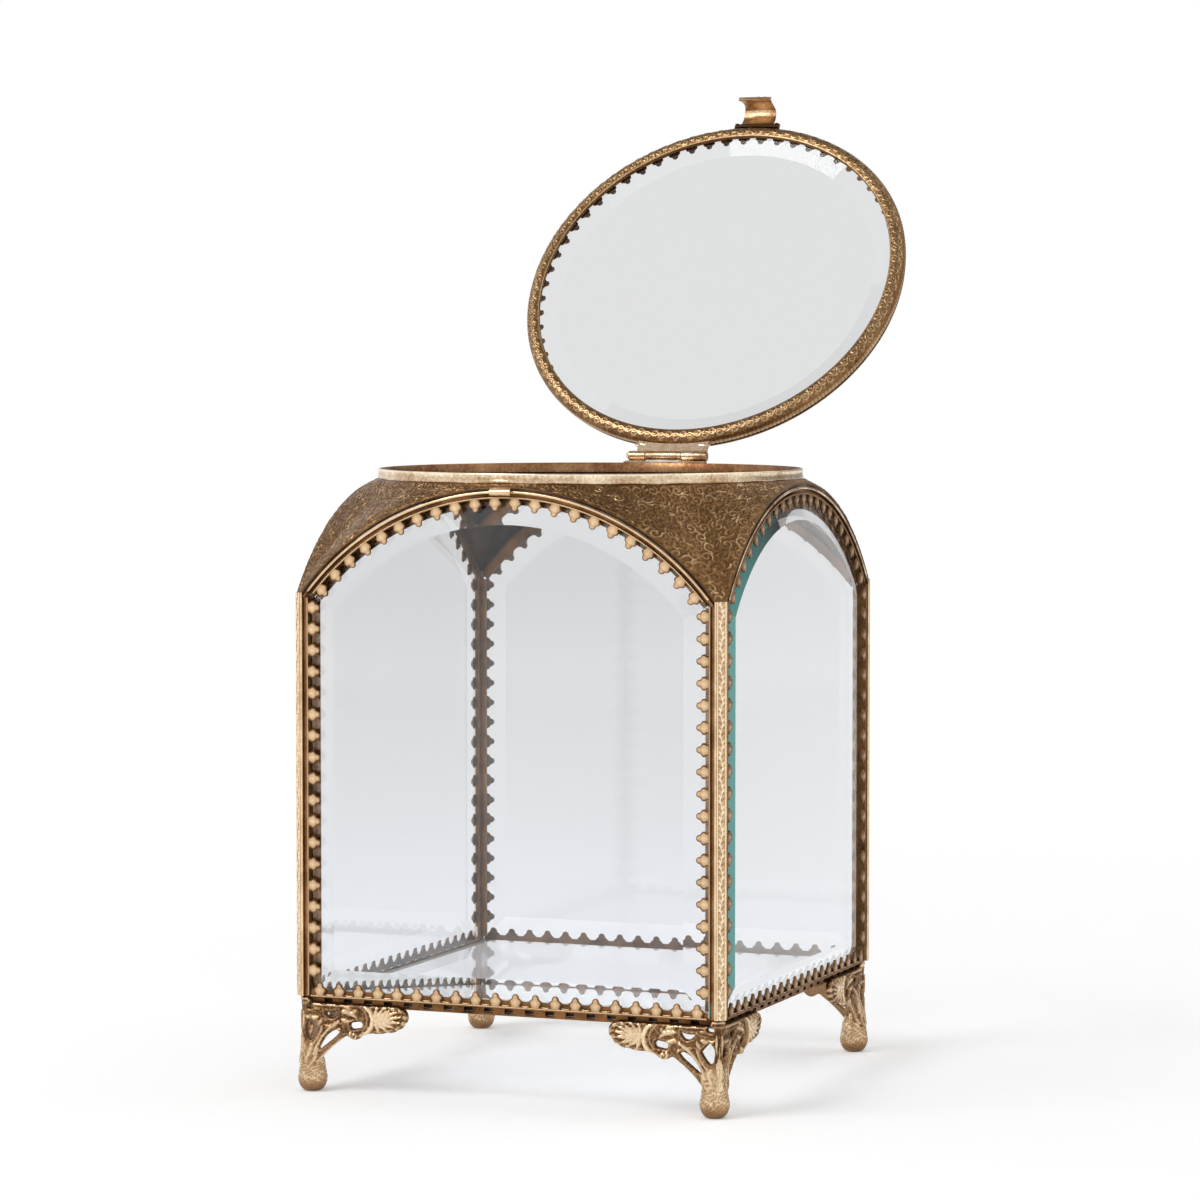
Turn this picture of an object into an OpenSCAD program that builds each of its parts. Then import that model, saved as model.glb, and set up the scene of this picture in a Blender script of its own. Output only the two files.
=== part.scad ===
// Keepsake casket of bevelled glass in a gilt brass frame, with a round hinged lid and four
// cabriole feet. Millimetres, +Z up, standing on z = 0 and drawn with the lid open.
// Section sketches use u, the distance along a face from the body's nominal corner, and v, the
// depth behind the face's outermost plane.

/* [Casket body] */
// Width and depth of the square body, over the corner bands
body_w = 100; // [94:1:108]
// Height of the undersides of the corner posts above the table
base_h = 21.1; // [18:0.1:26]
// Height of the crown of the arches' outer bead
crown_h = 132.4; // [122:0.1:142]
// Radius of the arches' outer bead
arch_r = 60.1; // [57:0.1:66]

/* [Brass strip] */
// Thickness of the folded brass strip
sheet = 0.4; // [0.3:0.05:0.5]
// How far the tabs lie behind the outermost plane of the body
tab_setback = 0.3; // [0.2:0.05:0.6]
// Length of a tab over the glass
tab_l = 2.75; // [2:0.05:3.4]
// Width of a tab at its shoulders
tab_w = 3.0; // [2.2:0.1:3.4]
// Distance from one tab to the next
tab_pitch = 4.6; // [4.2:0.1:6]
// How much glass the inner ledges cover
ledge_w = 1.6; // [1:0.1:2.5]

/* [Corner posts] */
// Leg of the diagonal band, from the nominal corner
band_leg = 1.6; // [1.2:0.1:1.9]
// Width of the ridge on each side of the band
ridge_w = 0.55; // [0.4:0.05:0.7]
// Depth of the channel beside each ridge
channel_d = 1.0; // [0.7:0.1:1.2]
// Width of the channel beside the bead of an arch
arch_channel_w = 0.7; // [0.5:0.1:1]
// Width of the bead of an arch
bead_w = 0.6; // [0.4:0.1:0.9]

/* [Glass] */
// Thickness of the wall and floor glass
glass_t = 2.9; // [2.6:0.1:3.1]
// Width of the ground bevel
bevel_w = 5.6; // [4:0.1:7]
// How far the bevel falls towards the edge
bevel_drop = 1.2; // [0.8:0.1:1.6]
// Gap between glass and brass
glass_gap = 0.05; // [0.02:0.01:0.1]

/* [Floor rails] */
// Height of the floor rails below the sill strips
rail_h = 2.0; // [1.6:0.1:2.6]
// How far the floor rails lie behind the outermost plane
rail_setback = 2.3; // [2.2:0.1:2.8]
// Width of the square openings in the floor rails
slot_w = 2.0; // [1.4:0.1:2.6]
// Height of the square openings in the floor rails
slot_h = 1.1; // [0.8:0.1:1.3]

/* [Dome and collar] */
// Outer radius of the collar
collar_r = 47.5; // [45:0.1:48]
// Height of the collar band
collar_h = 2.2; // [1.6:0.1:3.5]
// Height from the crown of the arches to the underside of the collar
neck_h = 1.4; // [1:0.1:3]
// Thickness of the collar and of the embossed spandrel sheet
shell_t = 0.6; // [0.5:0.05:0.8]
// How far the spandrels swell outwards on the diagonals
spandrel_bulge = 0.8; // [0:0.1:3]

/* [Feet] */
// Length of a foot's wings from the nominal corner
wing_l = 26.6; // [25:0.1:29]
// Thickness of a foot's wings
wing_t = 1.2; // [0.8:0.05:1.25]
// How far the wings lie behind the outermost plane
wing_setback = 1.0; // [0.8:0.05:1.05]
// Depth of the palmette at a wing's end, below the posts
palmette_h = 7.1; // [6.4:0.1:7.4]
// Distance of the toe's centre from the two faces of the body
toe_inset = 3.0; // [2.7:0.05:3.4]
// Radius of the toe
toe_r = 3.2; // [2.8:0.05:3.4]
// Radius of the flat that the toe stands on
pad_r = 1.7; // [1.2:0.1:2]

/* [Lid] */
// How far the lid leans back from closed, in degrees
open_angle = 126; // [110:1:130]
// How much smaller the lid's radius is than the collar's
lid_inset = 0.2; // [0.1:0.05:0.4]
// Gap between the closed lid and the collar
lid_gap = 0.2; // [0.1:0.05:0.3]
// Height of the lid rim
rim_h = 3.1; // [3:0.1:4]
// How far the half-round of the lid rim stands out
rim_round = 1.5; // [1:0.05:1.8]
// Flat width of the lid rim's top, on which the tab ring lies
rim_land = 0.6; // [0.5:0.05:1]
// Width of the ledge under the lid glass
rim_ledge_w = 1.3; // [1:0.1:2]
// Thickness of the lid glass
lid_glass_t = 2.3; // [2:0.1:2.3]

/* [Hinge] */
// Distance of the hinge axis behind the collar
hinge_back = 3.1; // [3:0.1:4]
// Height of the hinge axis above the collar
hinge_up = 1.5; // [1.45:0.05:1.8]
// Radius of the knuckles
knuckle_r = 1.15; // [1:0.05:1.2]
// Radius of the hinge pin
pin_r = 0.5; // [0.4:0.05:0.55]
// Radial gap between the pin and the fixed knuckles
pin_seat = 0.02; // [0.01:0.01:0.05]
// Radial gap between the pin and the lid's knuckle
pin_run = 0.06; // [0.03:0.01:0.1]
// Position of the left end of the barrel
hinge_left = -10.2; // [-14:0.1:-9.5]
// Lengths of the left, middle and right knuckles
left_knuckle = 4.1; // [3:0.1:6]
mid_knuckle = 8.6; // [6:0.1:11]
right_knuckle = 6.1; // [4:0.1:8]
// Gap between two knuckles
knuckle_gap = 0.25; // [0.15:0.05:0.4]

/* [Catch] */
// Radius of the catch bar
bar_r = 0.75; // [0.6:0.05:0.9]
// Length of the catch bar
bar_l = 4.7; // [3:0.1:6]
// Position of the catch bar's middle
bar_x = -0.45; // [-2:0.05:2]
// Width of the catch strap
strap_w = 8.2; // [6:0.1:9]
// Thickness of the catch strap
strap_t = 0.4; // [0.3:0.05:0.5]
// Gap between the closed strap and the catch bar
strap_gap = 0.15; // [0.12:0.01:0.3]
// Position of the middle of the catch on the lid
catch_x = 1.0; // [-2:0.1:2]
// Length of the catch plate between its scrolls
plate_l = 10.2; // [9:0.1:13]
// Radius of the scrolls of the catch plate
scroll_r = 0.75; // [0.5:0.05:0.8]

/* [Hidden] */

// Faces and corners count anticlockwise from the front and from the front left.
FRONT = 0;
RIGHT = 1;
BACK = 2;
LEFT = 3;
round_fn = 180;
small_fn = 48;
fuse = 0.02;

half = body_w / 2;

// Depths behind a face's outermost plane, in the order in which the parts lie.
tab_back = tab_setback + sheet;
glass_front = tab_back + glass_gap;
glass_back = glass_front + glass_t;
ledge_front = glass_back + glass_gap;
ledge_back = ledge_front + sheet;

// Distances from the corner along a face. Two panes meet at a corner without touching.
pane_edge = glass_back + 2 * glass_gap;
side_root = pane_edge - 0.25;
post_core = side_root - sheet;

// Heights of the floor and sill.
sill_top = base_h + sheet;
pane_bottom = sill_top + glass_gap;
rail_bottom = base_h - rail_h;
floor_bottom = rail_bottom + sheet + glass_gap;
floor_top = floor_bottom + glass_t;

// Arch radii, from the bead inwards, about a centre on each face.
arch_z = crown_h - arch_r;
arch_web = arch_r - bead_w - arch_channel_w;
arch_root = arch_web - sheet;
pane_r = arch_root - glass_gap;
arch_angle = asin((half - post_core - glass_gap) / arch_r);
spring_z = arch_z + arch_r * cos(arch_angle);
bead_angle = asin((half - band_leg - ridge_w - 0.15) / arch_r);

// The spandrel sheet starts just outside the bead and ends at the collar.
sheet_r = arch_r + shell_t;
sheet_corner = band_leg + ridge_w;
sheet_angle = asin((half - sheet_corner) / sheet_r);
post_top = arch_z + sheet_r * cos(sheet_angle);
collar_z = crown_h + neck_h;
collar_top = collar_z + collar_h;

// Lid, described closed and then turned open about the hinge.
lid_r = collar_r - lid_inset;
lid_z = collar_top + lid_gap;
hinge_y = collar_r + hinge_back;
hinge_z = collar_top + hinge_up;
lid_ledge_t = 0.6;
rim_bore_r = lid_r - rim_round - rim_land;
lid_glass_r = rim_bore_r - glass_gap;
lid_glass_z = lid_z + lid_ledge_t + glass_gap;
rim_top = lid_z + rim_h;

// Hinge stations along the axis.
mid_left = hinge_left + left_knuckle + knuckle_gap;
mid_right = mid_left + mid_knuckle;
right_left = mid_right + knuckle_gap;
hinge_right = right_left + right_knuckle;
leaf_t = 0.8;
turn_gap = 0.3;

// Catch: the bar lies on the bead, and the strap passes in front of it.
bar_y = -half - fuse - bar_r;
bar_z = crown_h - bead_w / 2;
plate_t = 0.8;
plate_h = 1.6;
plate_rise = 0.3;
plate_front = lid_r + plate_t;
strap_in = -(bar_y - bar_r) + strap_gap;
strap_root_z = lid_z + plate_h / 2;

// The body stands off the frame's origin, so that the whole part's box is centred over it. The
// catch bar reaches furthest forwards and the swell of the open strap furthest back.
strap_swell = 0.8;
strap_neck = max(strap_in - plate_front, strap_gap) + strap_t / 2;
strap_out = plate_front + strap_neck + strap_swell + strap_t / 2;
open_back = hinge_y - (hinge_y + strap_out) * cos(open_angle)
    + (strap_root_z - hinge_z) * sin(open_angle);
open_front = bar_y - bar_r;
frame_y = -(open_back + open_front) / 2;

// A point carried from p to q along a shallow bow, which is a parabola of the given rise.
function bow(p, q, rise, steps) =
    let(d = q - p, side = [-d.y, d.x] / norm(d))
    [for (k = [0 : steps]) let(t = k / steps) p + d * t + side * 4 * rise * t * (1 - t)];

// Outline of one tab about s = 0: a narrow neck, two shoulders and a small round tip.
function tab_half() = let(w = tab_w / 2, l = tab_l)
    [[0.78 * w, 0], [0.76 * w, 0.16 * l], [w, 0.36 * l], [0.94 * w, 0.52 * l],
     [0.52 * w, 0.68 * l], [0.44 * w, 0.88 * l], [0.18 * w, l]];
function tab_points() = let(h = tab_half(), n = len(h))
    concat([for (k = [0 : n - 1]) [-h[k].x, h[k].y]], [for (k = [n - 1 : -1 : 0]) h[k]]);
function tab_count(length) = floor(length / tab_pitch);

// Edge of a straight strip: from s = -length / 2 to length / 2, with its tabs towards +t.
function straight_edge(length) = let(n = tab_count(length), pitch = length / n)
    concat([[-length / 2, 0]],
        [for (i = [0 : n - 1], p = tab_points()) [p.x - length / 2 + (i + 0.5) * pitch, p.y]],
        [[length / 2, 0]]);

// Edge of a curved strip about the origin: tabs point inwards, angles run from the top.
function curved_edge(r, half_angle) =
    let(n = tab_count(2 * PI * r * half_angle / 180), pitch = 2 * half_angle / n)
    [for (i = [0 : n - 1], p = tab_points())
        let(a = -half_angle + (i + 0.5) * pitch + p.x / r * 180 / PI, q = r - p.y)
        [q * sin(a), q * cos(a)]];

// Places what is drawn about the body's own centre into the part's frame.
module in_frame() translate([0, frame_y, 0]) children();

// Turns what is drawn on the front face, or at the front left corner, to face or corner k.
module side(k) in_frame() rotate([0, 0, 90 * k]) children();

// Extrudes a shape drawn in x and z from depth v0 to v1 behind the front face.
module slab(v0, v1) translate([0, v1 - half, 0]) rotate([90, 0, 0]) linear_extrude(v1 - v0) children();

// Extrudes a shape drawn in v and z along the front face, over x from -l / 2 to l / 2.
module bar(l) translate([-l / 2, -half, 0]) rotate([90, 0, 90]) linear_extrude(l) children();

// Revolves a section drawn as radius and depth about the centre of the front arch, between two
// angles from the arch's crown.
module arc(from, to) translate([0, -half, arch_z]) rotate([-90, 0, 0]) rotate([0, 0, from - 90])
    rotate_extrude(angle = to - from, $fn = round_fn) children();

// Shape of a post in plan, about the nominal corner: band, ridges, channels and a square core.
module post_plan() {
    ridge = sheet_corner;
    wall = ridge + 0.1;
    polygon([[band_leg, 0], [ridge, 0.1], [wall, channel_d], [post_core, channel_d],
        [post_core, post_core], [channel_d, post_core], [channel_d, wall], [0.1, ridge],
        [0, band_leg]]);
}

module post_bore() {
    wall = 0.5;
    near = channel_d + wall;
    step = near + wall / 2;
    inner = post_core - wall;
    throat = band_leg + 0.1;
    polygon([[throat, 0.7], [step, near], [inner, near], [inner, inner], [near, inner],
        [near, step], [0.7, throat]]);
}

module post(k) color("goldenrod") side(k) translate([-half, -half, base_h])
    linear_extrude(post_top - base_h) difference() {
        post_plan();
        post_bore();
    }

// Angle strip that backs the two panes at a corner.
module inner_angle(k) color("peru") side(k) translate([-half, -half, floor_top + glass_gap])
    linear_extrude(spring_z - floor_top - 2) {
        reach = pane_edge + ledge_w;
        polygon([[ledge_front, ledge_front], [reach, ledge_front], [reach, ledge_back],
            [ledge_back, ledge_back], [ledge_back, reach], [ledge_front, reach]]);
    }

// Arched pane with a bevel all round, thin at its edges.
module pane(k) color([0.8, 0.88, 0.9, 0.35]) side(k) intersection() {
    edge = half - pane_edge;
    low = glass_front + bevel_drop;
    union() {
        arc(-180, 180) polygon([[0, glass_front], [pane_r - bevel_w, glass_front], [pane_r, low],
            [pane_r, glass_back], [0, glass_back]]);
        slab(glass_front, glass_back) translate([-half, pane_bottom - 1])
            square([body_w, arch_z - pane_bottom + 1]);
    }
    linear_extrude(crown_h) translate([0, -half])
        polygon([[-edge, glass_back], [-edge, low], [bevel_w - edge, glass_front],
            [edge - bevel_w, glass_front], [edge, low], [edge, glass_back]]);
    bar(body_w) polygon([[glass_back, pane_bottom], [low, pane_bottom],
        [glass_front, pane_bottom + bevel_w], [glass_front, crown_h], [glass_back, crown_h]]);
}

// Floor pane with its bevel on the upper side.
module floor_pane() color([0.8, 0.88, 0.9, 0.35]) in_frame() intersection_for (turn = [0, 90])
    rotate([0, 0, turn]) {
        edge = half - pane_edge;
        step = floor_top - bevel_drop;
        bar(body_w) translate([half, 0]) polygon([[-edge, floor_bottom], [edge, floor_bottom],
            [edge, step], [edge - bevel_w, floor_top], [bevel_w - edge, floor_top], [-edge, step]]);
    }

// Arch: bead, sunk channel, root strip with tabs, web round the pane's edge and inner ledge.
module arch_frame(k) color("darkgoldenrod") side(k) {
    bead_in = arch_r - bead_w;
    arc(-arch_angle, arch_angle) polygon([[bead_in, 0], [arch_r, 0], [arch_r, channel_d + sheet],
        [arch_web, channel_d + sheet], [arch_web, ledge_back],
        [arch_root - ledge_w, ledge_back], [arch_root - ledge_w, ledge_front],
        [arch_root, ledge_front], [arch_root, tab_setback], [arch_web, tab_setback],
        [arch_web, channel_d], [bead_in, channel_d]]);
    for (ends = [[-bead_angle, 0.5 - arch_angle], [arch_angle - 0.5, bead_angle]])
        arc(ends[0], ends[1]) translate([bead_in + fuse, fuse])
            square([bead_w - 2 * fuse, channel_d - 2 * fuse]);
    // The tabs grow out of the root strip, a little thinner than it.
    slab(tab_setback + fuse, tab_back - fuse) translate([0, arch_z]) {
        root = arch_root + 0.1;
        end = arch_angle - 0.2;
        polygon(concat(curved_edge(root, end), [for (k = [40 : -1 : -40])
            (root + 0.15) * [sin(end * k / 40), cos(end * k / 40)]]));
    }
}

// Pair of upright strips with tabs, beside the posts.
module side_strips(k) color("goldenrod") side(k) {
    low = sill_top + tab_l + 0.3;
    high = spring_z - 1.2;
    length = high - low;
    for (turn = [0, 1]) mirror([turn, 0, 0]) {
        slab(tab_setback, tab_back) translate([side_root - half, (low + high) / 2]) rotate(-90)
            polygon(concat(straight_edge(length), [[length / 2, -sheet], [-length / 2, -sheet]]));
        translate([-half, -half, low]) linear_extrude(length)
            translate([post_core + fuse, tab_back - fuse])
                square([sheet - fuse, post_core - tab_back - fuse]);
    }
}

// Sill: tabs over the pane and the shelf that the pane stands on.
module sill_strip(k) color("goldenrod") side(k) {
    length = 2 * (half - ledge_front);
    slab(tab_setback, tab_back) translate([0, sill_top])
        polygon(concat(straight_edge(length), [[length / 2, -sheet], [-length / 2, -sheet]]));
    bar(length) translate([tab_back - fuse, base_h]) square([glass_back - tab_back, sheet]);
}

// Floor rail: pierced wall, and a flange with tabs folded under the floor glass.
module floor_rail(k) color("darkgoldenrod") side(k) {
    wall_in = rail_setback + sheet;
    reach = pane_edge + 0.2;
    tab_run = body_w - 2 * (reach + tab_l) - 1;
    pitch = tab_run / tab_count(tab_run);
    intersection() {
        difference() {
            bar(body_w) polygon([[rail_setback, base_h], [rail_setback, rail_bottom],
                [reach, rail_bottom], [reach, rail_bottom + sheet],
                [wall_in, rail_bottom + sheet], [wall_in, base_h]]);
            for (i = [0 : tab_count(tab_run)])
                translate([(i - tab_count(tab_run) / 2) * pitch - slot_w / 2,
                    rail_setback - half - 1, rail_bottom + sheet])
                    cube([slot_w, sheet + 2, slot_h]);
        }
        linear_extrude(base_h) translate([0, -half])
            polygon([[rail_setback - half + fuse, rail_setback - 1],
                [half - rail_setback - fuse, rail_setback - 1],
                [half - rail_setback - fuse, rail_setback], [half - reach - fuse, reach],
                [reach - half + fuse, reach], [rail_setback - half + fuse, rail_setback]]);
    }
    translate([0, reach - half, rail_bottom]) linear_extrude(sheet)
        polygon(concat(straight_edge(tab_run), [[tab_run / 2, -fuse], [-tab_run / 2, -fuse]]));
}

// Half of a spandrel's lower edge: along the front arch, from its crown to the post.
function edge_point(t) = let(a = sheet_angle * t)
    [-sheet_r * sin(a), -half, arch_z + sheet_r * cos(a)];
// The point of the collar above it, and both points' common direction along the edge.
collar_share = 43;
function collar_point(t) = let(b = collar_share * t) [-collar_r * sin(b), -collar_r * cos(b), collar_z];
function swap(p) = [p.y, p.x, p.z];
function unit(p) = p / norm(p);
// The outer surface: straight from edge to collar, swollen outwards towards the diagonal. The
// swell is fullest a third of the way up.
function low_arc(h) = 27 / 4 * h * (1 - h) * (1 - h);
function swell(t) = spandrel_bulge * t * t * (3 - 2 * t);
function along(t) = t == 0 ? [-1, 0, 0] : unit(edge_point(t) - edge_point(t - 0.02)
    + collar_point(t) - collar_point(t - 0.02));
function skin(t, h) = let(p = edge_point(t), q = collar_point(t), n = unit(cross(q - p, along(t))))
    p + (q - p) * h + n * swell(t) * low_arc(h);
function skin_normal(t, h) = let(up = skin(t, min(1, h + 0.05)) - skin(t, max(0, h - 0.05)))
    unit(cross(up, along(t)));

spandrel_columns = 14;
spandrel_rows = 8;

// Embossed sheet between two arches and the collar, of even thickness.
module spandrel(k) color("sienna") side(k) {
    n = spandrel_columns;
    m = spandrel_rows;
    half_grid = [for (i = [0 : n]) [for (j = [0 : m]) [skin(i / n, j / m), skin_normal(i / n, j / m)]]];
    outer_half = [for (c = half_grid) [for (s = c) s[0]]];
    inner_half = [for (c = half_grid) [for (s = c) s[0] - s[1] * shell_t]];
    outer = concat(outer_half, [for (i = [n : -1 : 0]) [for (p = outer_half[i]) swap(p)]]);
    inner = concat(inner_half, [for (i = [n : -1 : 0]) [for (p = inner_half[i]) swap(p)]]);
    columns = 2 * (n + 1);
    stride = m + 1;
    far = columns * stride;
    last = columns - 1;
    points = concat([for (c = outer, p = c) p], [for (c = inner, p = c) p]);
    faces = concat(
        [for (i = [0 : last - 1], j = [0 : m - 1], tri = [[0, 1, stride], [1, stride + 1, stride]])
            [for (q = tri) i * stride + j + q]],
        [for (i = [0 : last - 1], j = [0 : m - 1], tri = [[0, stride, 1], [1, stride, stride + 1]])
            [for (q = tri) far + i * stride + j + q]],
        [for (i = [0 : last - 1], row = [0, m]) let(a = i * stride + row, b = a + stride)
            each (row == 0 ? [[a, b, far + a], [b, far + b, far + a]]
                : [[a, far + a, b], [b, far + a, far + b]])],
        [for (j = [0 : m - 1], col = [0, last]) let(a = col * stride + j, b = a + 1)
            each (col == 0 ? [[a, far + a, b], [b, far + a, far + b]]
                : [[a, b, far + a], [b, far + b, far + a]])]);
    polyhedron(points, faces);
}

module collar() color("gold") in_frame() translate([0, 0, collar_z])
    rotate_extrude($fn = round_fn) translate([collar_r - shell_t, 0]) square([shell_t, collar_h]);

// A rounded slot between two points, as its outline.
function capsule(p, q, r) = let(d = unit([q.x - p.x, q.y - p.y]), a = atan2(d.y, d.x))
    concat([for (k = [0 : 5]) q + r * [cos(a - 90 + k * 36), sin(a - 90 + k * 36)]],
        [for (k = [0 : 5]) p + r * [cos(a + 90 + k * 36), sin(a + 90 + k * 36)]]);

// Pierced wing of a foot with its half of the leg, as seen from in front of the corner.
// x is the distance from the nominal corner and y the height.
module wing_outline() {
    top = base_h - fuse;
    shoulder = 1.25;
    leg_foot = 6.4;
    palm = palmette_h;
    // A point of the piercing or of the scrolled underside, by its depth below the post.
    function at(u, depth) = [u, base_h - depth];
    difference() {
        polygon(concat([[wing_setback, leg_foot - 1.3], [wing_setback, top], [3, top],
            at(3.4, shoulder)],
            bow(at(wing_l - 1.7, shoulder + 0.1), at(wing_l, 3.1), 0.3, 4),
            bow(at(wing_l - 0.4, 4), at(wing_l - 3, palm - 0.4), 0.2, 4),
            bow(at(wing_l - 4.3, palm), at(16.5, palm + 0.9), 0.1, 3),
            bow(at(15.2, palm + 1.6), at(12.3, palm + 1.4), 0.4, 5),
            bow(at(11, palm + 1.9), [4.9, leg_foot], -0.4, 7), [[4.6, leg_foot - 1.3]]));
        // Leaf slot along the leg, eye of the scroll, half-moon, bead and lozenge.
        polygon([at(10.3, 7.6), at(9.3, 7.2), at(7.4, 8.3), at(6.2, 10), at(5.4, 11.4),
            at(5.6, 11.7), at(7.3, 10.3), at(9, 9)]);
        polygon(capsule(at(13.6, 6), at(15.1, 5.8), 0.75));
        polygon(capsule(at(7.6, 3.6), at(9, 3.3), 0.9));
        polygon(capsule(at(2.9, 2.3), at(3.6, 2.3), 0.45));
        polygon([at(5.4, 7), at(3.5, 4.9), at(1.9, 6.9), at(2.7, 9), at(3.2, 9.6), at(4.2, 8.8)]);
    }
}

// Cast foot: two pierced wings that meet under the corner post and end in a knob toe.
module foot(k) color("goldenrod") side(k) {
    neck = 6.2;
    intersection() {
        for (turn = [0, 1]) mirror([turn, -turn, 0])
            slab(wing_setback, wing_setback + wing_t) translate([-half, 0]) wing_outline();
        linear_extrude(base_h) translate([-half, -half]) {
            near = wing_setback;
            far = wing_l + 1;
            polygon([[near + 0.9, near], [far, near], [far, far], [near, far], [near, near + 0.9]]);
        }
    }
    translate([toe_inset - half, toe_inset - half, 0]) rotate_extrude($fn = small_fn)
        polygon(concat([[0, 0]], bow([pad_r, 0], [toe_r - 0.3, 3.4], -0.8, 6),
            bow([toe_r - 0.6, 4.2], [1.9, neck], 0.1, 3), [[1.3, neck + 3], [0, neck + 3]]));
}

// One knuckle or the pin: a rod along x, from x0 to x1 on the hinge axis.
module rod(x0, x1, r) translate([x0, hinge_y, hinge_z]) rotate([0, 90, 0])
    cylinder(x1 - x0, r, r, $fn = small_fn);

// Saddle-shaped leaf behind the collar, two arms and the two outer knuckles.
module hinge_base() color("goldenrod") in_frame() difference() {
    union() {
        translate([hinge_left, 0, collar_z + 0.1])
            cube([hinge_right - hinge_left, collar_r + 0.9, collar_h + 0.2]);
        for (x = [[hinge_left, mid_left - knuckle_gap], [right_left, hinge_right]]) {
            rod(x[0], x[1], knuckle_r);
            translate([x[0], collar_r + turn_gap, collar_top - 0.4])
                cube([x[1] - x[0], hinge_back - turn_gap, hinge_up - knuckle_r + 0.5]);
        }
    }
    translate([0, 0, collar_z - 1]) cylinder(collar_h + 4, r = collar_r + fuse, $fn = round_fn);
    rod(hinge_left - 1, hinge_right + 1, pin_r + pin_seat);
}

module hinge_pin() color("darkgoldenrod") in_frame() {
    rod(hinge_left - 0.1, hinge_right - 0.1, pin_r);
    translate([hinge_left - 0.05, hinge_y, hinge_z]) rotate([0, -90, 0])
        cylinder(0.65, knuckle_r - 0.05, knuckle_r - 0.5, $fn = small_fn);
}

module catch_bar() color("gold") in_frame() translate([bar_x - bar_l / 2, bar_y, bar_z])
    rotate([0, 90, 0]) cylinder(bar_l, bar_r, bar_r, $fn = small_fn);

// Turns what is drawn closed to the open lid.
module opened() in_frame() translate([0, hinge_y, hinge_z]) rotate([-open_angle, 0, 0])
    translate([0, -hinge_y, -hinge_z]) children();

// A quarter of an oval about c, from angle a to a + 90.
function quarter(c, rx, ry, a) = [for (k = [0 : 6]) c + [rx * cos(a + 15 * k), ry * sin(a + 15 * k)]];

// Half-round rim with a ledge under the glass. Its underside is flatter than its top.
module lid_rim() color("darkgoldenrod") opened() translate([0, 0, lid_z]) rotate_extrude($fn = round_fn) {
    mid = rim_h / 2;
    flat_round = rim_round - 0.4;
    polygon(concat([[rim_bore_r - rim_ledge_w, lid_ledge_t], [rim_bore_r - rim_ledge_w, 0]],
        quarter([lid_r - flat_round, mid], flat_round, mid, -90),
        [for (k = [1 : 6]) quarter([lid_r - rim_round, mid], rim_round, mid, 0)[k]],
        [[rim_bore_r, rim_h], [rim_bore_r, lid_ledge_t]]));
}

module lid_glass() color([0.8, 0.88, 0.9, 0.35]) opened() translate([0, 0, lid_glass_z])
    rotate_extrude($fn = round_fn) polygon([[0, 0], [lid_glass_r, 0],
        [lid_glass_r, lid_glass_t - bevel_drop], [lid_glass_r - bevel_w, lid_glass_t],
        [0, lid_glass_t]]);

// Flat ring with tabs bent over the lid glass.
module lid_tab_ring() color("goldenrod") opened() translate([0, 0, rim_top]) linear_extrude(sheet)
    difference() {
        circle(lid_r - 0.4, $fn = round_fn);
        polygon(curved_edge(lid_r - 1.1, 180));
    }

// Leaf between the lid's middle knuckle and the back of the rim.
module lid_hinge_leaf() color("goldenrod") opened() difference() {
    union() {
        rod(mid_left, mid_right, knuckle_r);
        translate([hinge_left + 1.6, lid_r - 1, hinge_z - leaf_t / 2])
            cube([hinge_right - hinge_left - 1.9, hinge_y - knuckle_r - turn_gap - lid_r + 1, leaf_t]);
        translate([mid_left, hinge_y - knuckle_r - turn_gap - fuse, hinge_z - leaf_t / 2])
            cube([mid_knuckle, knuckle_r, leaf_t]);
    }
    cylinder(rim_top, r = lid_r + fuse, $fn = round_fn);
    rod(mid_left - 1, mid_right + 1, pin_r + pin_run);
}

// Plate on the front of the rim, curled into a scroll at each end.
module catch_plate() color("darkgoldenrod") opened() difference() {
    translate([catch_x, -plate_front, lid_z + plate_rise]) {
        translate([-plate_l / 2, 0, 0]) cube([plate_l, plate_t + 1, plate_h]);
        for (end = [-1, 1]) translate([end * plate_l / 2, plate_t + 0.2, plate_h / 2]) rotate([90, 0, 0])
            cylinder(plate_t + 0.5, r = scroll_r, $fn = small_fn);
    }
    cylinder(rim_top, r = lid_r + fuse, $fn = round_fn);
}

// Centre line of the strap as distance in front of the plate and height above the root.
strap_drop = strap_root_z - bar_z;
function strap_line() = let(a = [strap_t / 2 + 0.08, 0], b = [strap_neck + strap_swell, -0.1],
        c = [strap_neck, -strap_drop - 0.25])
    concat(bow(a, b, 0.7, 5), [for (k = [1 : 6]) bow(b, c, 0.6, 6)[k]], [c + [1, 0.35]]);
function side_of(line, k) = let(d = line[min(k + 1, len(line) - 1)] - line[max(k - 1, 0)])
    [-d.y, d.x] / norm(d) * strap_t / 2;

// Springy strap that bulges over the catch bar and ends in a flared lip.
module catch_strap() color("gold") opened()
    translate([catch_x - strap_w / 2, -plate_front, strap_root_z]) mirror([0, 1, 0])
        rotate([90, 0, 90]) linear_extrude(strap_w) {
            line = strap_line();
            n = len(line) - 1;
            polygon(concat([for (k = [0 : n]) line[k] + side_of(line, k)],
                [for (k = [n : -1 : 0]) line[k] - side_of(line, k)]));
        }

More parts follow.
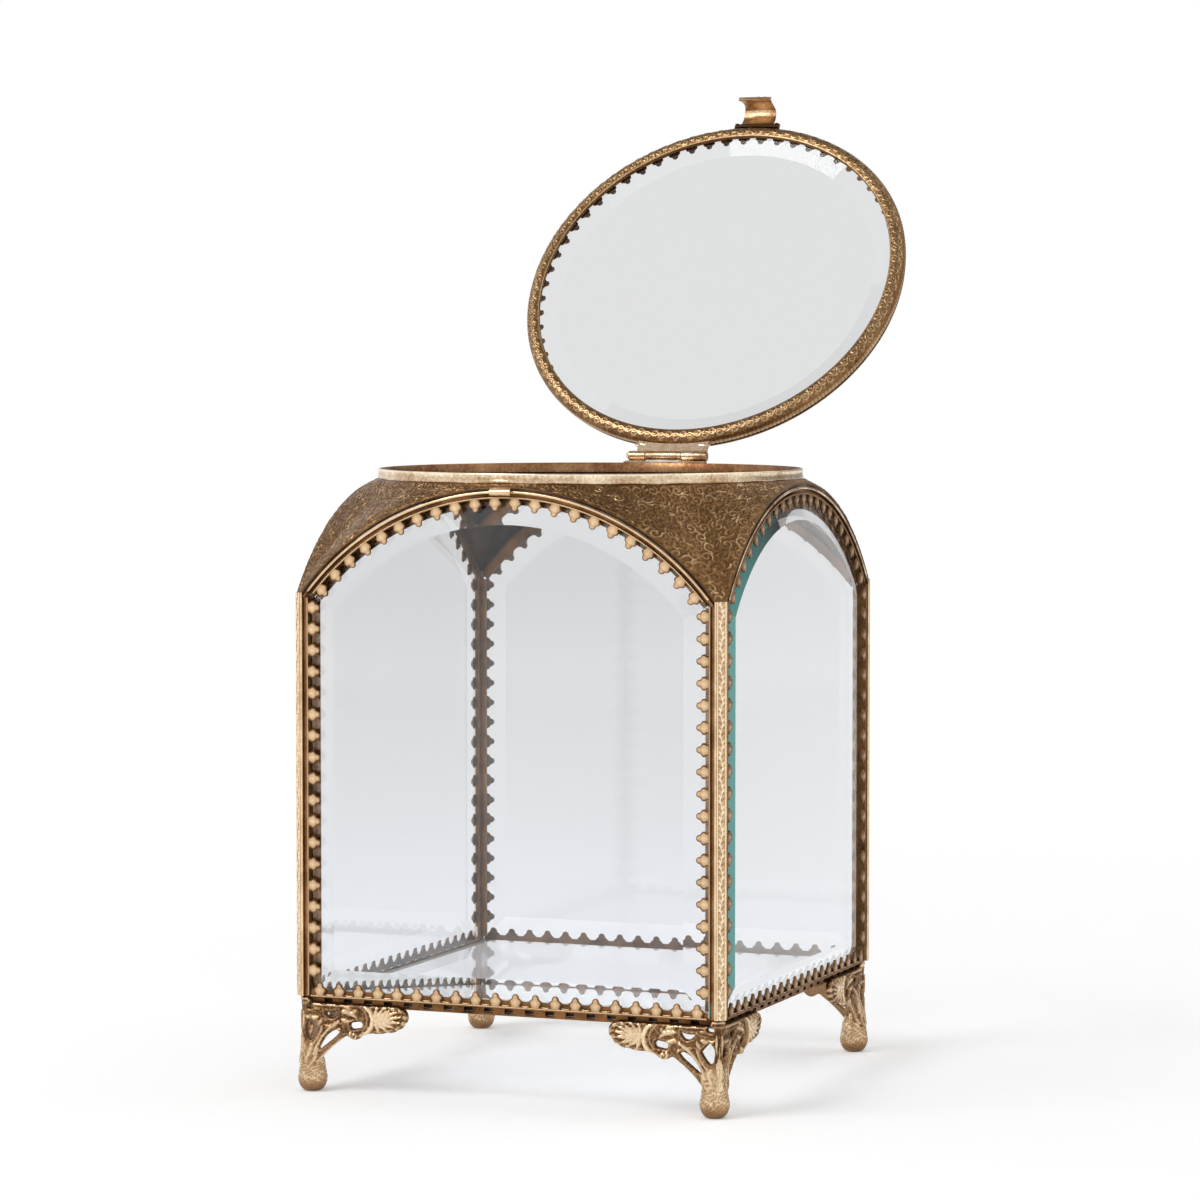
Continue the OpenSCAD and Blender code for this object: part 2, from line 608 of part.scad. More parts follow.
pane(FRONT);  // front_glass
pane(RIGHT);  // right_glass
pane(BACK);  // back_glass
pane(LEFT);  // left_glass
floor_pane();  // floor_glass
post(FRONT);  // post_front_left
post(RIGHT);  // post_front_right
post(BACK);  // post_back_right
post(LEFT);  // post_back_left
inner_angle(FRONT);  // inner_angle_front_left
inner_angle(RIGHT);  // inner_angle_front_right
inner_angle(BACK);  // inner_angle_back_right
inner_angle(LEFT);  // inner_angle_back_left
arch_frame(FRONT);  // arch_frame_front
arch_frame(RIGHT);  // arch_frame_right
arch_frame(BACK);  // arch_frame_back
arch_frame(LEFT);  // arch_frame_left
side_strips(FRONT);  // side_strips_front
side_strips(RIGHT);  // side_strips_right
side_strips(BACK);  // side_strips_back
side_strips(LEFT);  // side_strips_left
sill_strip(FRONT);  // sill_strip_front
sill_strip(RIGHT);  // sill_strip_right
sill_strip(BACK);  // sill_strip_back
sill_strip(LEFT);  // sill_strip_left
floor_rail(FRONT);  // floor_rail_front
floor_rail(RIGHT);  // floor_rail_right
floor_rail(BACK);  // floor_rail_back
floor_rail(LEFT);  // floor_rail_left
spandrel(FRONT);  // spandrel_front_left
spandrel(RIGHT);  // spandrel_front_right
spandrel(BACK);  // spandrel_back_right
spandrel(LEFT);  // spandrel_back_left
collar();
foot(FRONT);  // foot_front_left
foot(RIGHT);  // foot_front_right
foot(BACK);  // foot_back_right
foot(LEFT);  // foot_back_left
hinge_base();
hinge_pin();
catch_bar();
lid_rim();
lid_glass();
lid_tab_ring();
lid_hinge_leaf();
catch_plate();
catch_strap();
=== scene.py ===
"""Bevelled glass casket in a gilt brass frame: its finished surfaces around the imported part."""
import math

import bpy
import numpy as np
from bpy.props import FloatProperty, FloatVectorProperty, PointerProperty
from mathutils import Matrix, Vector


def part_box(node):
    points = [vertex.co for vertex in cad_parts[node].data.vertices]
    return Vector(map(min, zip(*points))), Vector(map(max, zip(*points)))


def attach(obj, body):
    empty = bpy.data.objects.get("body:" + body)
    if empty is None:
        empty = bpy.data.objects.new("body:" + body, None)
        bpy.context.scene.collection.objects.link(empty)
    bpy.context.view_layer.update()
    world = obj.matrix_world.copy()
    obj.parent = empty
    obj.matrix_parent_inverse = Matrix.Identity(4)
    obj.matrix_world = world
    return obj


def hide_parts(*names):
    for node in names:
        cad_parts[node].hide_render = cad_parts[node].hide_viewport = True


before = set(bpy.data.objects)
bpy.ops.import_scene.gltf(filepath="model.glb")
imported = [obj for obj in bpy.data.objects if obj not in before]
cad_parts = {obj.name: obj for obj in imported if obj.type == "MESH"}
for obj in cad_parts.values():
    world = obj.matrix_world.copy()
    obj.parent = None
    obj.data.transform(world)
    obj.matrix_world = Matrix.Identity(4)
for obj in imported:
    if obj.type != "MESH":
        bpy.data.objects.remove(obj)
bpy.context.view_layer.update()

bl_info = {
    "name": "Bevelled Glass Casket",
    "version": (1, 0, 0),
    "blender": (4, 5, 0),
    "location": "View3D > Sidebar > Casket",
    "description": "Builds the finished surfaces of a bevelled glass casket around its packed part",
    "category": "Object",
}

# Millimetres in metres. All shapes below are worked out in millimetres about the body's own
# centre, with z = 0 on the table, and go into the part's frame when they become meshes.
MM = 0.001
COLLAR_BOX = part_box("collar")
BODY_Y = (COLLAR_BOX[0].y + COLLAR_BOX[1].y) / 2
FACES = ("front", "right", "back", "left")
# The right face's tabs, beaded lines and arch bead take darker finishes: painted shade on
# the casket's right side.
TAB_TONES = {"front": "tabs", "right": "shaded", "back": "tabs", "left": "tabs"}
CORNERS = ("front_left", "front_right", "back_right", "back_left")

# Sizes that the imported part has, in millimetres and degrees.
HALF = 50.0  # half the body's width
BASE_H = 21.1  # where the posts stand on the feet
POST_TOP = 109.65
ARCH_R = 60.1  # outside of the arches, whose centre is at ARCH_Z
ARCH_Z = 72.3
ARCH_HALF_ANGLE = 51.0  # reach of an arch's bead and tabs to each side of its crown
ARCH_WEB = 58.8  # inner edge of an arch's web
ARCH_TABS_R = 58.5  # roots of an arch's tabs
SIDE_TABS_TOP = 108.76
SIDE_ROOT = 3.5  # roots of the tabs beside a post, in from the body's side
SILL_L = 92.6  # length of a sill's row of tabs
SHEET = 0.4  # thickness of the strips
TAB_SETBACK = 0.3  # depth of the tabs' outer face behind the body's own
TAB_L = 2.75
TAB_W = 3.0
TAB_PITCH = 4.6
BAND_LEG = 1.6  # width that a post's diagonal band takes off each face
SHEET_R = 60.7  # lower edge of the spandrels
SHEET_ANGLE = math.degrees(math.asin((HALF - 2.15) / SHEET_R))
COLLAR_R = 47.5
COLLAR_Z = 133.8
COLLAR_TOP = 136.0
SHELL_T = 0.6
LID_R = 47.3
LID_Z = 136.2
RIM_H = 3.1
HINGE_Y = 50.6
HINGE_Z = 137.5
OPEN_ANGLE = math.radians(126)
PLATE_FRONT = 48.1
CATCH_X = 1.0
STRAP_NECK = 3.77
STRAP_SWELL = 0.8
STRAP_T = 0.4
TOE_INSET = 3.0

DIAGONAL = 0.7071  # share of a diagonal step that runs along each axis

# Directions at the front face.
ASIDE, OUT, UP = np.array([(1.0, 0, 0), (0, -1.0, 0), (0, 0, 1.0)])


# Placing -------------------------------------------------------------------------------------

def turned(points, k):
    """Turns points of the front face, or of the front left corner, to face or corner k."""
    c, s = ((1, 0), (0, 1), (-1, 0), (0, -1))[k]
    x, y, z = points[..., 0], points[..., 1], points[..., 2]
    return np.stack([x * c - y * s, x * s + y * c, z], -1)


def opened(points):
    """Turns what is drawn with the lid closed back about the hinge axis, to the open lid."""
    c, s = math.cos(OPEN_ANGLE), math.sin(OPEN_ANGLE)
    y, z = points[..., 1] - HINGE_Y, points[..., 2] - HINGE_Z
    return np.stack([points[..., 0], HINGE_Y + y * c + z * s, HINGE_Z - y * s + z * c], -1)


def spots(x, y, z):
    """Points from their coordinates, each a number or an array."""
    return np.stack(np.broadcast_arrays(x, y, z), -1).astype(float)


def unit(v):
    """Vectors divided by their lengths."""
    return v / np.maximum(np.linalg.norm(v, axis=-1, keepdims=True), 1e-9)


def smooth(t):
    """Runs from 0 to 1 while t does, without a corner at either end."""
    t = np.clip(t, 0, 1)
    return t * t * (3 - 2 * t)


def half_round(distance, half_width):
    """Height of a half-round strand, 1 over its middle: the square root of 1 - (distance / half
    width) squared, and 0 beyond."""
    return np.clip(1 - (distance / half_width) ** 2, 0, 1) ** 0.5


def arcs(x, pitch):
    """A row of bumps, each a half wave of a sine and one pitch long, from 0 to 1."""
    return np.abs(np.sin(np.pi * x / pitch))


def round_angles(count):
    """Angles evenly once round a circle."""
    return np.linspace(0, 2 * np.pi, count, endpoint=False)


def grid_faces(n, m, wrap_n=False, wrap_m=False, flip=False):
    """Quads of an n by m grid of vertices that are numbered row by row."""
    i, j = np.meshgrid(np.arange(n if wrap_n else n - 1), np.arange(m if wrap_m else m - 1),
                       indexing="ij")
    a, b = i * m + j, (i + 1) % n * m + j
    c, d = (i + 1) % n * m + (j + 1) % m, i * m + (j + 1) % m
    quads = np.stack([a, b, c, d], -1).reshape(-1, 4)
    return quads[:, ::-1] if flip else quads


FINISHES = {}


def finished(name, points, quads, relief, finish, slot, body="casket", replaces=(), crease=None):
    """Makes a piece of the object from points in millimetres and quads.

    relief is a number for each point, 0 in the hollows and 1 on the ridges, that its finish reads.
    crease is the angle in degrees above which an edge stays sharp."""
    mesh = bpy.data.meshes.new(name)
    mesh.vertices.add(len(points))
    placed = points * MM + np.array([0, BODY_Y, 0])
    mesh.vertices.foreach_set("co", placed.astype(np.float32).ravel())
    mesh.loops.add(quads.size)
    mesh.loops.foreach_set("vertex_index", quads.astype(np.int32).ravel())
    mesh.polygons.add(len(quads))
    mesh.polygons.foreach_set("loop_start", np.arange(len(quads), dtype=np.int32) * 4)
    layer = mesh.attributes.new("relief", "FLOAT", "POINT")
    layer.data.foreach_set("value", relief.astype(np.float32))
    mesh.update(calc_edges=True)
    mesh.validate()
    mesh.shade_smooth()
    if crease:
        mesh.set_sharp_from_angle(angle=math.radians(crease))
    mesh.materials.append(FINISHES[finish])
    piece = bpy.data.objects.new(name, mesh)
    bpy.context.scene.collection.objects.link(piece)
    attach(piece, body)
    if replaces:
        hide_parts(*replaces)


def dress(finish, *nodes):
    """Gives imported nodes, whose shapes are right, one of the finishes."""
    for name in nodes:
        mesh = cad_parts[name].data
        mesh.materials.clear()
        mesh.materials.append(FINISHES[finish])


def four(form, names=FACES):
    """Names of the four nodes of one kind."""
    return [form.format(name) for name in names]


class Heap:
    """Gathers several grids into one mesh."""

    def __init__(self):
        self.points, self.quads, self.reliefs, self.count = [], [], [], 0

    def add(self, points, quads, relief=None):
        """Adds points, and quads that count from these points' first."""
        points = np.asarray(points, float).reshape(-1, 3)
        relief = np.full(len(points), 0.5) if relief is None else np.asarray(relief, float).ravel()
        self.points.append(points)
        self.quads.append(np.asarray(quads).reshape(-1, 4) + self.count)
        self.reliefs.append(relief)
        self.count += len(points)
        return self

    def grid(self, points, relief=None, **wraps):
        """Adds a grid of points."""
        return self.add(points, grid_faces(points.shape[0], points.shape[1], **wraps), relief)

    def finish(self, name, finish, slot, **words):
        """Makes the piece in one of the finishes."""
        finished(name, np.concatenate(self.points), np.concatenate(self.quads),
                 np.concatenate(self.reliefs), finish, slot, **words)


def tube(path, normals, radius, sides=8, swell=1.0):
    """A rod along a path: at each point a circle is spanned by the path's normal and the vector
    square to it and to the path. swell multiplies the radius point by point. Ends are drawn in
    to their middle."""
    path = np.asarray(path, float)
    along = unit(np.gradient(path, axis=0))
    normals = unit(normals - along * (normals * along).sum(-1, keepdims=True))
    across = np.cross(along, normals)
    turn = round_angles(sides)
    size = np.broadcast_to(radius * swell, len(path))
    ring = (normals[:, None] * np.cos(turn)[None, :, None]
            + across[:, None] * np.sin(turn)[None, :, None])
    points = path[:, None] + ring * size[:, None, None]
    first = np.repeat(path[:1, None], sides, 1)
    last = np.repeat(path[-1:, None], sides, 1)
    return np.concatenate([first, points, last])


def beaded(path, normals, radius, least):
    """A fine line of beads along a path, four steps to a bead: its radius swings between least
    of the whole and the whole, as the size of a sine."""
    swell = least + (1 - least) * arcs(np.arange(len(path)), 4)
    return tube(path, normals, radius, 6, swell)


def ridge_height(where, curves):
    """Half-round strands in relief at the (n, 2) places. A curve is (points, half widths,
    height), and the highest strand wins."""
    height = np.zeros(len(where))
    for line, width, top in curves:
        line = np.asarray(line, float)
        width = np.broadcast_to(np.asarray(width, float), len(line))
        low, high = line.min(0) - width.max(), line.max(0) + width.max()
        near = np.nonzero(((where >= low) & (where <= high)).all(-1))[0]
        if not len(near):
            continue
        gap = np.linalg.norm(where[near, None] - line[None], axis=-1)
        strand = top * half_round(gap, width[None]).max(-1)
        height[near] = np.maximum(height[near], strand)
    return height


def curl(centre, r0, r1, start, sweep, w0, w1, top, steps=40):
    """A scroll: a spiral whose radius runs from r0 to r1 and whose width from w0 to w1."""
    t = np.linspace(0, 1, steps)
    a = np.radians(start + sweep * t)
    r = r0 + (r1 - r0) * t
    line = np.stack([centre[0] + r * np.cos(a), centre[1] + r * np.sin(a)], -1)
    return line, w0 + (w1 - w0) * t, top


def leaf(root, tip, width, top, bend=0.0, steps=16):
    """A leaf: a bowed stroke from root to tip, widest before its middle and pointed."""
    root, tip = np.asarray(root, float), np.asarray(tip, float)
    t = np.linspace(0, 1, steps)[:, None]
    d = tip - root
    side = np.array([-d[1], d[0]])
    line = root + d * t + side * bend * 4 * t * (1 - t)
    t = t[:, 0]
    return line, width * (0.12 + 0.88 * np.sin(np.pi * t ** 0.7)), top


def mottle(x, y, seed, size):
    """Soft random swells between -1 and 1: a sum of seeded waves about size long."""
    draw = np.random.default_rng(seed)
    total = 0
    for _ in range(7):
        a, f, p = draw.uniform(0, 2 * np.pi), draw.uniform(0.6, 1.6) / size, draw.uniform(0, 6.3)
        total = total + np.sin(2 * np.pi * f * (x * np.cos(a) + y * np.sin(a)) + p)
    return total / 4.5


# Finishes ------------------------------------------------------------------------------------

def new_tree(name):
    """An empty material and its node tree."""
    material = bpy.data.materials.new(name)
    material.use_nodes = True
    material.node_tree.nodes.clear()
    return material, material.node_tree


def put(tree, kind, sockets=None, **settings):
    """Adds a shader node of a kind, sets it, and fills or links its sockets."""
    made = tree.nodes.new("ShaderNode" + kind)
    for key, value in settings.items():
        setattr(made, key, value)
    for key, value in (sockets or {}).items():
        if isinstance(value, bpy.types.NodeSocket):
            tree.links.new(value, made.inputs[key])
        else:
            made.inputs[key].default_value = value
    return made


def ramp(tree, factor, *stops):
    """A colour ramp through (place, colour) stops."""
    made = put(tree, "ValToRGB", {"Fac": factor})
    made.color_ramp.elements[0].position = stops[0][0]
    made.color_ramp.elements[0].color = (*stops[0][1], 1)
    made.color_ramp.elements[1].position = stops[-1][0]
    made.color_ramp.elements[1].color = (*stops[-1][1], 1)
    for place, colour in stops[1:-1]:
        made.color_ramp.elements.new(place).color = (*colour, 1)
    return made.outputs["Color"]


def maths(tree, operation, *values, clamp=False):
    """The result of a sum."""
    return put(tree, "Math", dict(enumerate(values)), operation=operation,
               use_clamp=clamp).outputs[0]


def one_of(tree, *kinds):
    """1 for these kinds of ray, and 0 for the others."""
    rays = put(tree, "LightPath")
    found = rays.outputs[kinds[0]]
    for kind in kinds[1:]:
        found = maths(tree, "MAXIMUM", found, rays.outputs[kind])
    return found


def scaled(tree, value, low, high, to_low, to_high):
    """Maps a value from one range to another, kept within it."""
    return put(tree, "MapRange",
               {"Value": value, "From Min": low, "From Max": high, "To Min": to_low,
                "To Max": to_high}).outputs["Result"]


def brass(name, dark, middle, light, rough, worn=False, wash=0.35, bump=0.12):
    """Patinated gilt brass. Its colour runs from dark to light, and its roughness from rough's
    second to its first, with the relief of a worn surface and otherwise with clouds a few
    millimetres long. wash is how far the clouds and specks of tarnish stir them."""
    material, tree = new_tree(name)
    spot = put(tree, "TexCoord").outputs["Object"]
    clouds = put(tree, "TexNoise",
                 {"Vector": spot, "Scale": 160.0, "Detail": 4.0, "Roughness": 0.6}).outputs["Fac"]
    specks = put(tree, "TexNoise",
                 {"Vector": spot, "Scale": 1500.0, "Detail": 5.0, "Roughness": 0.7}).outputs["Fac"]
    stir = scaled(tree, maths(tree, "ADD", clouds, specks), 0.6, 1.4, -wash, wash)
    if worn:
        height = put(tree, "Attribute", attribute_name="relief").outputs["Fac"]
    else:
        height = scaled(tree, clouds, 0.3, 0.7, 0.35, 0.8)
    level = maths(tree, "ADD", height, stir, clamp=True)
    colour = ramp(tree, level, (0.02, dark), (0.45, middle), (0.95, light))
    dull = scaled(tree, level, 0.1, 0.9, rough[1], rough[0])
    grains = put(tree, "TexNoise", {"Vector": spot, "Scale": 1300.0, "Detail": 3.0}).outputs["Fac"]
    bumps = put(tree, "Bump", {"Strength": bump, "Distance": 0.0001, "Height": grains})
    shader = put(tree, "BsdfPrincipled",
                 {"Base Color": colour, "Metallic": 1.0, "Roughness": dull,
                  "Normal": bumps.outputs["Normal"]})
    put(tree, "OutputMaterial", {"Surface": shader.outputs["BSDF"]})
    return material


def glass(name, clear, bevelled, edge, green=1.0, flat=None, low=None, clarity=1.0):
    """Clear glass, faintly grey over its flat and clearer over the ground bevel, whose faces lean
    away from the pane's own plane. flat is the direction that the plane faces, where it isn't one
    of the axes. green is how strongly the bevel turns to the edge's tint where it is seen along
    the pane. low is the tint near the floor: the panes are painted clearer low down, a painted
    reflection of the surroundings mirrored in them, which are brightest there. clarity is the
    share of light that passes through; the rest of the glass is a white diffuse share, a painted
    reflection that lightens it. Shadow rays pass through."""
    material, tree = new_tree(name)
    normal = put(tree, "VectorTransform",
                 {"Vector": put(tree, "NewGeometry").outputs["True Normal"]},
                 vector_type="NORMAL", convert_from="WORLD", convert_to="OBJECT").outputs["Vector"]
    if flat:
        facing = maths(tree, "ABSOLUTE", put(tree, "VectorMath", {0: normal, 1: flat},
                                             operation="DOT_PRODUCT").outputs["Value"])
    else:
        parts = put(tree, "SeparateXYZ", {"Vector": normal})
        x, y, z = (maths(tree, "ABSOLUTE", parts.outputs[axis]) for axis in "XYZ")
        facing = maths(tree, "MAXIMUM", maths(tree, "MAXIMUM", x, y), z)
    bevel = scaled(tree, facing, 0.98, 0.998, 1.0, 0.0)
    spot = put(tree, "TexCoord").outputs["Object"]
    rise = put(tree, "SeparateXYZ", {"Vector": spot}).outputs["Z"]
    plain = put(tree, "Mix", {0: scaled(tree, rise, 0.032, 0.085, 0.0, 1.0),
                              6: (*(low or clear), 1), 7: (*clear, 1)},
                data_type="RGBA").outputs[2]
    tint = put(tree, "Mix", {0: bevel, 6: plain, 7: (*bevelled, 1)}, data_type="RGBA")
    pure = put(tree, "BsdfPrincipled",
               {"Base Color": tint.outputs[2], "Roughness": 0.0, "IOR": 1.47,
                "Transmission Weight": clarity})
    # Seen along the pane, a bevel shows the green of the glass's own length.
    along = put(tree, "LayerWeight", {"Blend": 0.5}).outputs["Facing"]
    share = maths(tree, "MULTIPLY", scaled(tree, along, 0.3, 0.4, 0.0, green),
                  scaled(tree, along, 0.5, 0.62, 1.0, 0.0))
    share = maths(tree, "MULTIPLY", share, bevel)
    depth = put(tree, "BsdfPrincipled",
                {"Base Color": (*edge, 1), "Roughness": 0.15, "IOR": 1.47})
    body = put(tree, "MixShader", {0: share, 1: pure.outputs["BSDF"], 2: depth.outputs["BSDF"]})
    through = put(tree, "BsdfTransparent", {"Color": (0.95, 0.955, 0.96, 1)})
    shader = put(tree, "MixShader",
                 {0: one_of(tree, "Is Shadow Ray"), 1: body.outputs["Shader"],
                  2: through.outputs["BSDF"]})
    put(tree, "OutputMaterial", {"Surface": shader.outputs["Shader"]})
    return material


def make_finishes(tones):
    """Makes each of the casket's finishes once."""
    gold, brown, tarnish = tuple(tones.gold), tuple(tones.brown), tuple(tones.tarnish)

    def tone(t):
        """From tarnish at 0 through brown at 0.5 to gilding at 1."""
        a, b, t = (tarnish, brown, 2 * t) if t < 0.5 else (brown, gold, 2 * t - 1)
        return tuple(x * (1 - t) + y * t for x, y in zip(a, b))

    flat_tint, bevel_tint = tuple(tones.glass_flat), tuple(tones.glass_bevel)
    edge_tint = tuple(tones.glass_edge)
    bright = tuple(min(1.0, c * 1.2) for c in gold)
    shade = tuple(c * 0.5 for c in tarnish)
    FINISHES.update(
        tabs=brass("gilt_tabs", tone(0.45), tone(0.76), gold, (0.28, 0.45), worn=True, wash=0.2),
        # The right face's darker tabs and beaded lines: painted shade.
        shaded=brass("shaded_tabs", tone(0.1), (0.24, 0.135, 0.065), (0.5, 0.33, 0.18),
                     (0.3, 0.5), worn=True, wash=0.25),
        # Tarnished strips; round each tab's dome their darker colour also stands as a painted shade
        # outline.
        strips=brass("tarnish_and_shade_strip", shade, tone(0.25), tone(0.5), (0.4, 0.6)),
        band=brass("embossed_band", tone(0.5), tone(0.94), (1.0, 0.88, 0.66), (0.24, 0.42),
                   worn=True, wash=0.2),
        channel=brass("dark_channel", tone(0.3), tone(0.5), tone(0.66), (0.4, 0.6)),
        polished=brass("polished_brass", tone(0.66), tone(0.88), bright, (0.14, 0.3), wash=0.25,
                       bump=0.04),
        collar=brass("collar_brass", (0.17, 0.07, 0.03), tone(0.6), (1.0, 0.86, 0.64),
                     (0.14, 0.36), worn=True, wash=0.34, bump=0.1),
        strap=brass("strap_brass", tone(0.2), tone(0.58), tone(0.95), (0.24, 0.42), wash=0.4,
                    bump=0.08),
        hinge=brass("hinge_brass", (0.12, 0.065, 0.03), (0.4, 0.26, 0.15), (0.85, 0.68, 0.5),
                    (0.2, 0.4), wash=0.4),
        spandrel=brass("embossed_sheet", (0.06, 0.03, 0.012), (0.26, 0.138, 0.055),
                       (1.0, 0.74, 0.44), (0.22, 0.44), worn=True, wash=0.14),
        rim=brass("embossed_rim", (0.08, 0.042, 0.016), (0.25, 0.14, 0.062), (0.66, 0.46, 0.26),
                  (0.26, 0.46), worn=True, wash=0.18),
        inside=brass("dark_inside", (0.03, 0.016, 0.011), (0.08, 0.047, 0.033),
                     (0.17, 0.105, 0.07), (0.5, 0.7)),
        cast=brass("cast_brass", tone(0.06), tone(0.62), (0.95, 0.76, 0.5), (0.2, 0.46),
                   worn=True, wash=0.16),
        copper=brass("copper_brown", tone(0.15), tone(0.42), tone(0.6), (0.3, 0.5)),
        solder=brass("solder", (0.32, 0.21, 0.13), (0.68, 0.53, 0.38), (0.95, 0.86, 0.74),
                     (0.3, 0.5)),
        # Clearer low down: a painted reflection of the bright surroundings.
        pane=glass("bevelled_glass", flat_tint, bevel_tint, edge_tint, low=(0.9, 0.915, 0.94)),
        # The floor glass lets through 0.6 of the light; the rest is white diffuse, a painted
        # reflection that lightens it.
        floor_pane=glass("floor_glass", (0.96, 0.965, 0.98), bevel_tint, edge_tint, 0.0,
                         clarity=0.6),
        lid_pane=glass("lid_glass", tuple(c * 0.97 for c in flat_tint), flat_tint, edge_tint, 0.35,
                       flat=(0, math.sin(OPEN_ANGLE), math.cos(OPEN_ANGLE))),
    )


# Sizes and colours that a user would change ----------------------------------------------------

class CasketTones(bpy.types.PropertyGroup):
    """Colours of the brass and of the glass."""

    gold: FloatVectorProperty(name="Gilding", description="Colour of the gilding where it is worn "
                              "bright", default=(0.8, 0.585, 0.36), subtype="COLOR", size=3)
    brown: FloatVectorProperty(name="Brown gold", description="Colour of the worn brass",
                               default=(0.3, 0.145, 0.055), subtype="COLOR", size=3)
    tarnish: FloatVectorProperty(name="Tarnish", description="Colour of the hollows",
                                 default=(0.07, 0.034, 0.015), subtype="COLOR", size=3)
    glass_flat: FloatVectorProperty(name="Glass", description="Tint of the flat glass",
                                    default=(0.785, 0.79, 0.797), subtype="COLOR", size=3)
    glass_bevel: FloatVectorProperty(name="Bevel", description="Tint of the bevels",
                                     default=(0.9, 0.907, 0.912), subtype="COLOR", size=3)
    glass_edge: FloatVectorProperty(name="Bevel's edge", description="Tint of the bevels seen "
                                    "along the pane", default=(0.11, 0.4, 0.37),
                                    subtype="COLOR", size=3)


class CasketRelief(bpy.types.PropertyGroup):
    """How far the ornament stands out."""

    tab: FloatProperty(name="Tabs", description="Height of a tab's dome", default=0.00016,
                       subtype="DISTANCE", unit="LENGTH")
    band: FloatProperty(name="Corner bands", description="Height of the ornament on the corner "
                        "bands", default=0.0002, subtype="DISTANCE", unit="LENGTH")
    spandrel: FloatProperty(name="Spandrels", description="Height of the foliage on the "
                            "spandrels", default=0.00032, subtype="DISTANCE", unit="LENGTH")
    foot: FloatProperty(name="Feet", description="Height of the ornament on the feet",
                        default=0.0006, subtype="DISTANCE", unit="LENGTH")
    rim: FloatProperty(name="Lid rim", description="Height of the foliage on the lid rim",
                       default=0.0002, subtype="DISTANCE", unit="LENGTH")


class CasketCamera(bpy.types.PropertyGroup):
    """Where the picture is taken from."""

    place: FloatVectorProperty(name="Place", description="Camera's place, from the body's centre",
                               default=(0.35846, -0.8992, 0.16233), subtype="TRANSLATION",
                               unit="LENGTH")
    lens: FloatProperty(name="Lens", description="Focal length on a 36 mm sensor, in millimetres",
                        default=129.55)
    turn: FloatProperty(name="Turn", description="Turn to the left of the depth axis",
                        default=math.radians(21.61), subtype="ANGLE", unit="ROTATION")
    tilt: FloatProperty(name="Tilt", description="Tilt below the horizon",
                        default=math.radians(3.31), subtype="ANGLE", unit="ROTATION")


# The pieces ----------------------------------------------------------------------------------

class CASKET_OT_glass(bpy.types.Operator):
    """Makes the finishes, and gives the panes, the floor and the lid their bevelled glass"""

    bl_idname = "casket.glass"
    bl_label = "Glass"

    def execute(self, context):
        make_finishes(context.scene.casket_tones)
        dress("pane", *four("{}_glass"))
        dress("floor_pane", "floor_glass")
        dress("lid_pane", "lid_glass")
        return {"FINISHED"}


# A tab from its root to its tip: stations along it, and its half width and height at each.
TAB_T = np.array([0, 0.16, 0.36, 0.52, 0.68, 0.88, 1.0])
TAB_HALF = np.array([0.78, 0.76, 1, 0.94, 0.52, 0.44, 0.18]) * TAB_W / 2
TAB_DOME = np.array([0.35, 0.7, 1, 0.9, 0.45, 0.62, 0.1])


def add_tabs(heap, origins, across, along, outward, height, place):
    """Adds a dome over each tab to a heap: at station t along a tab its half width is the tab's
    own, a little narrower, and its height is that of the station times 1 - c squared, where c
    runs from -1 to 1 across the tab. The dome's edge lies just inside the tab. place puts the
    points of one dome where they belong."""
    across, along, outward = (np.broadcast_to(np.asarray(way, float), origins.shape)
                              for way in (across, along, outward))
    c = np.array([-1, -0.62, 0, 0.62, 1])
    # The dome is narrower than its tab, so the darker strip shows round it as a painted shade
    # outline.
    x = TAB_HALF[:, None] * 0.82 * c[None]
    y = np.repeat((TAB_T * TAB_L * 0.95)[:, None], len(c), 1)
    z = height * TAB_DOME[:, None] * (1 - c[None] ** 2) - 0.03 * np.abs(c[None])
    points = (origins[:, None, None] + across[:, None, None] * x[None, ..., None]
              + along[:, None, None] * y[None, ..., None]
              + outward[:, None, None] * z[None, ..., None])
    level = 0.3 + 0.6 * (z / height).clip(0, 1)
    facing = np.dot(np.cross(across[0], along[0]), outward[0]) > 0
    for dome in points:
        heap.grid(place(dome), level, flip=not facing)


def tab_angles(radius, half_angle):
    """Angles from the crown at which a curved strip has its tabs, in radians."""
    count = math.floor(2 * math.pi * radius * half_angle / 180 / TAB_PITCH)
    pitch = 2 * half_angle / count
    return np.radians(-half_angle + (np.arange(count) + 0.5) * pitch)


def tab_stations(length):
    """Places along a straight strip at which it has its tabs, from its middle."""
    count = math.floor(length / TAB_PITCH)
    return (np.arange(count) + 0.5) * length / count - length / 2


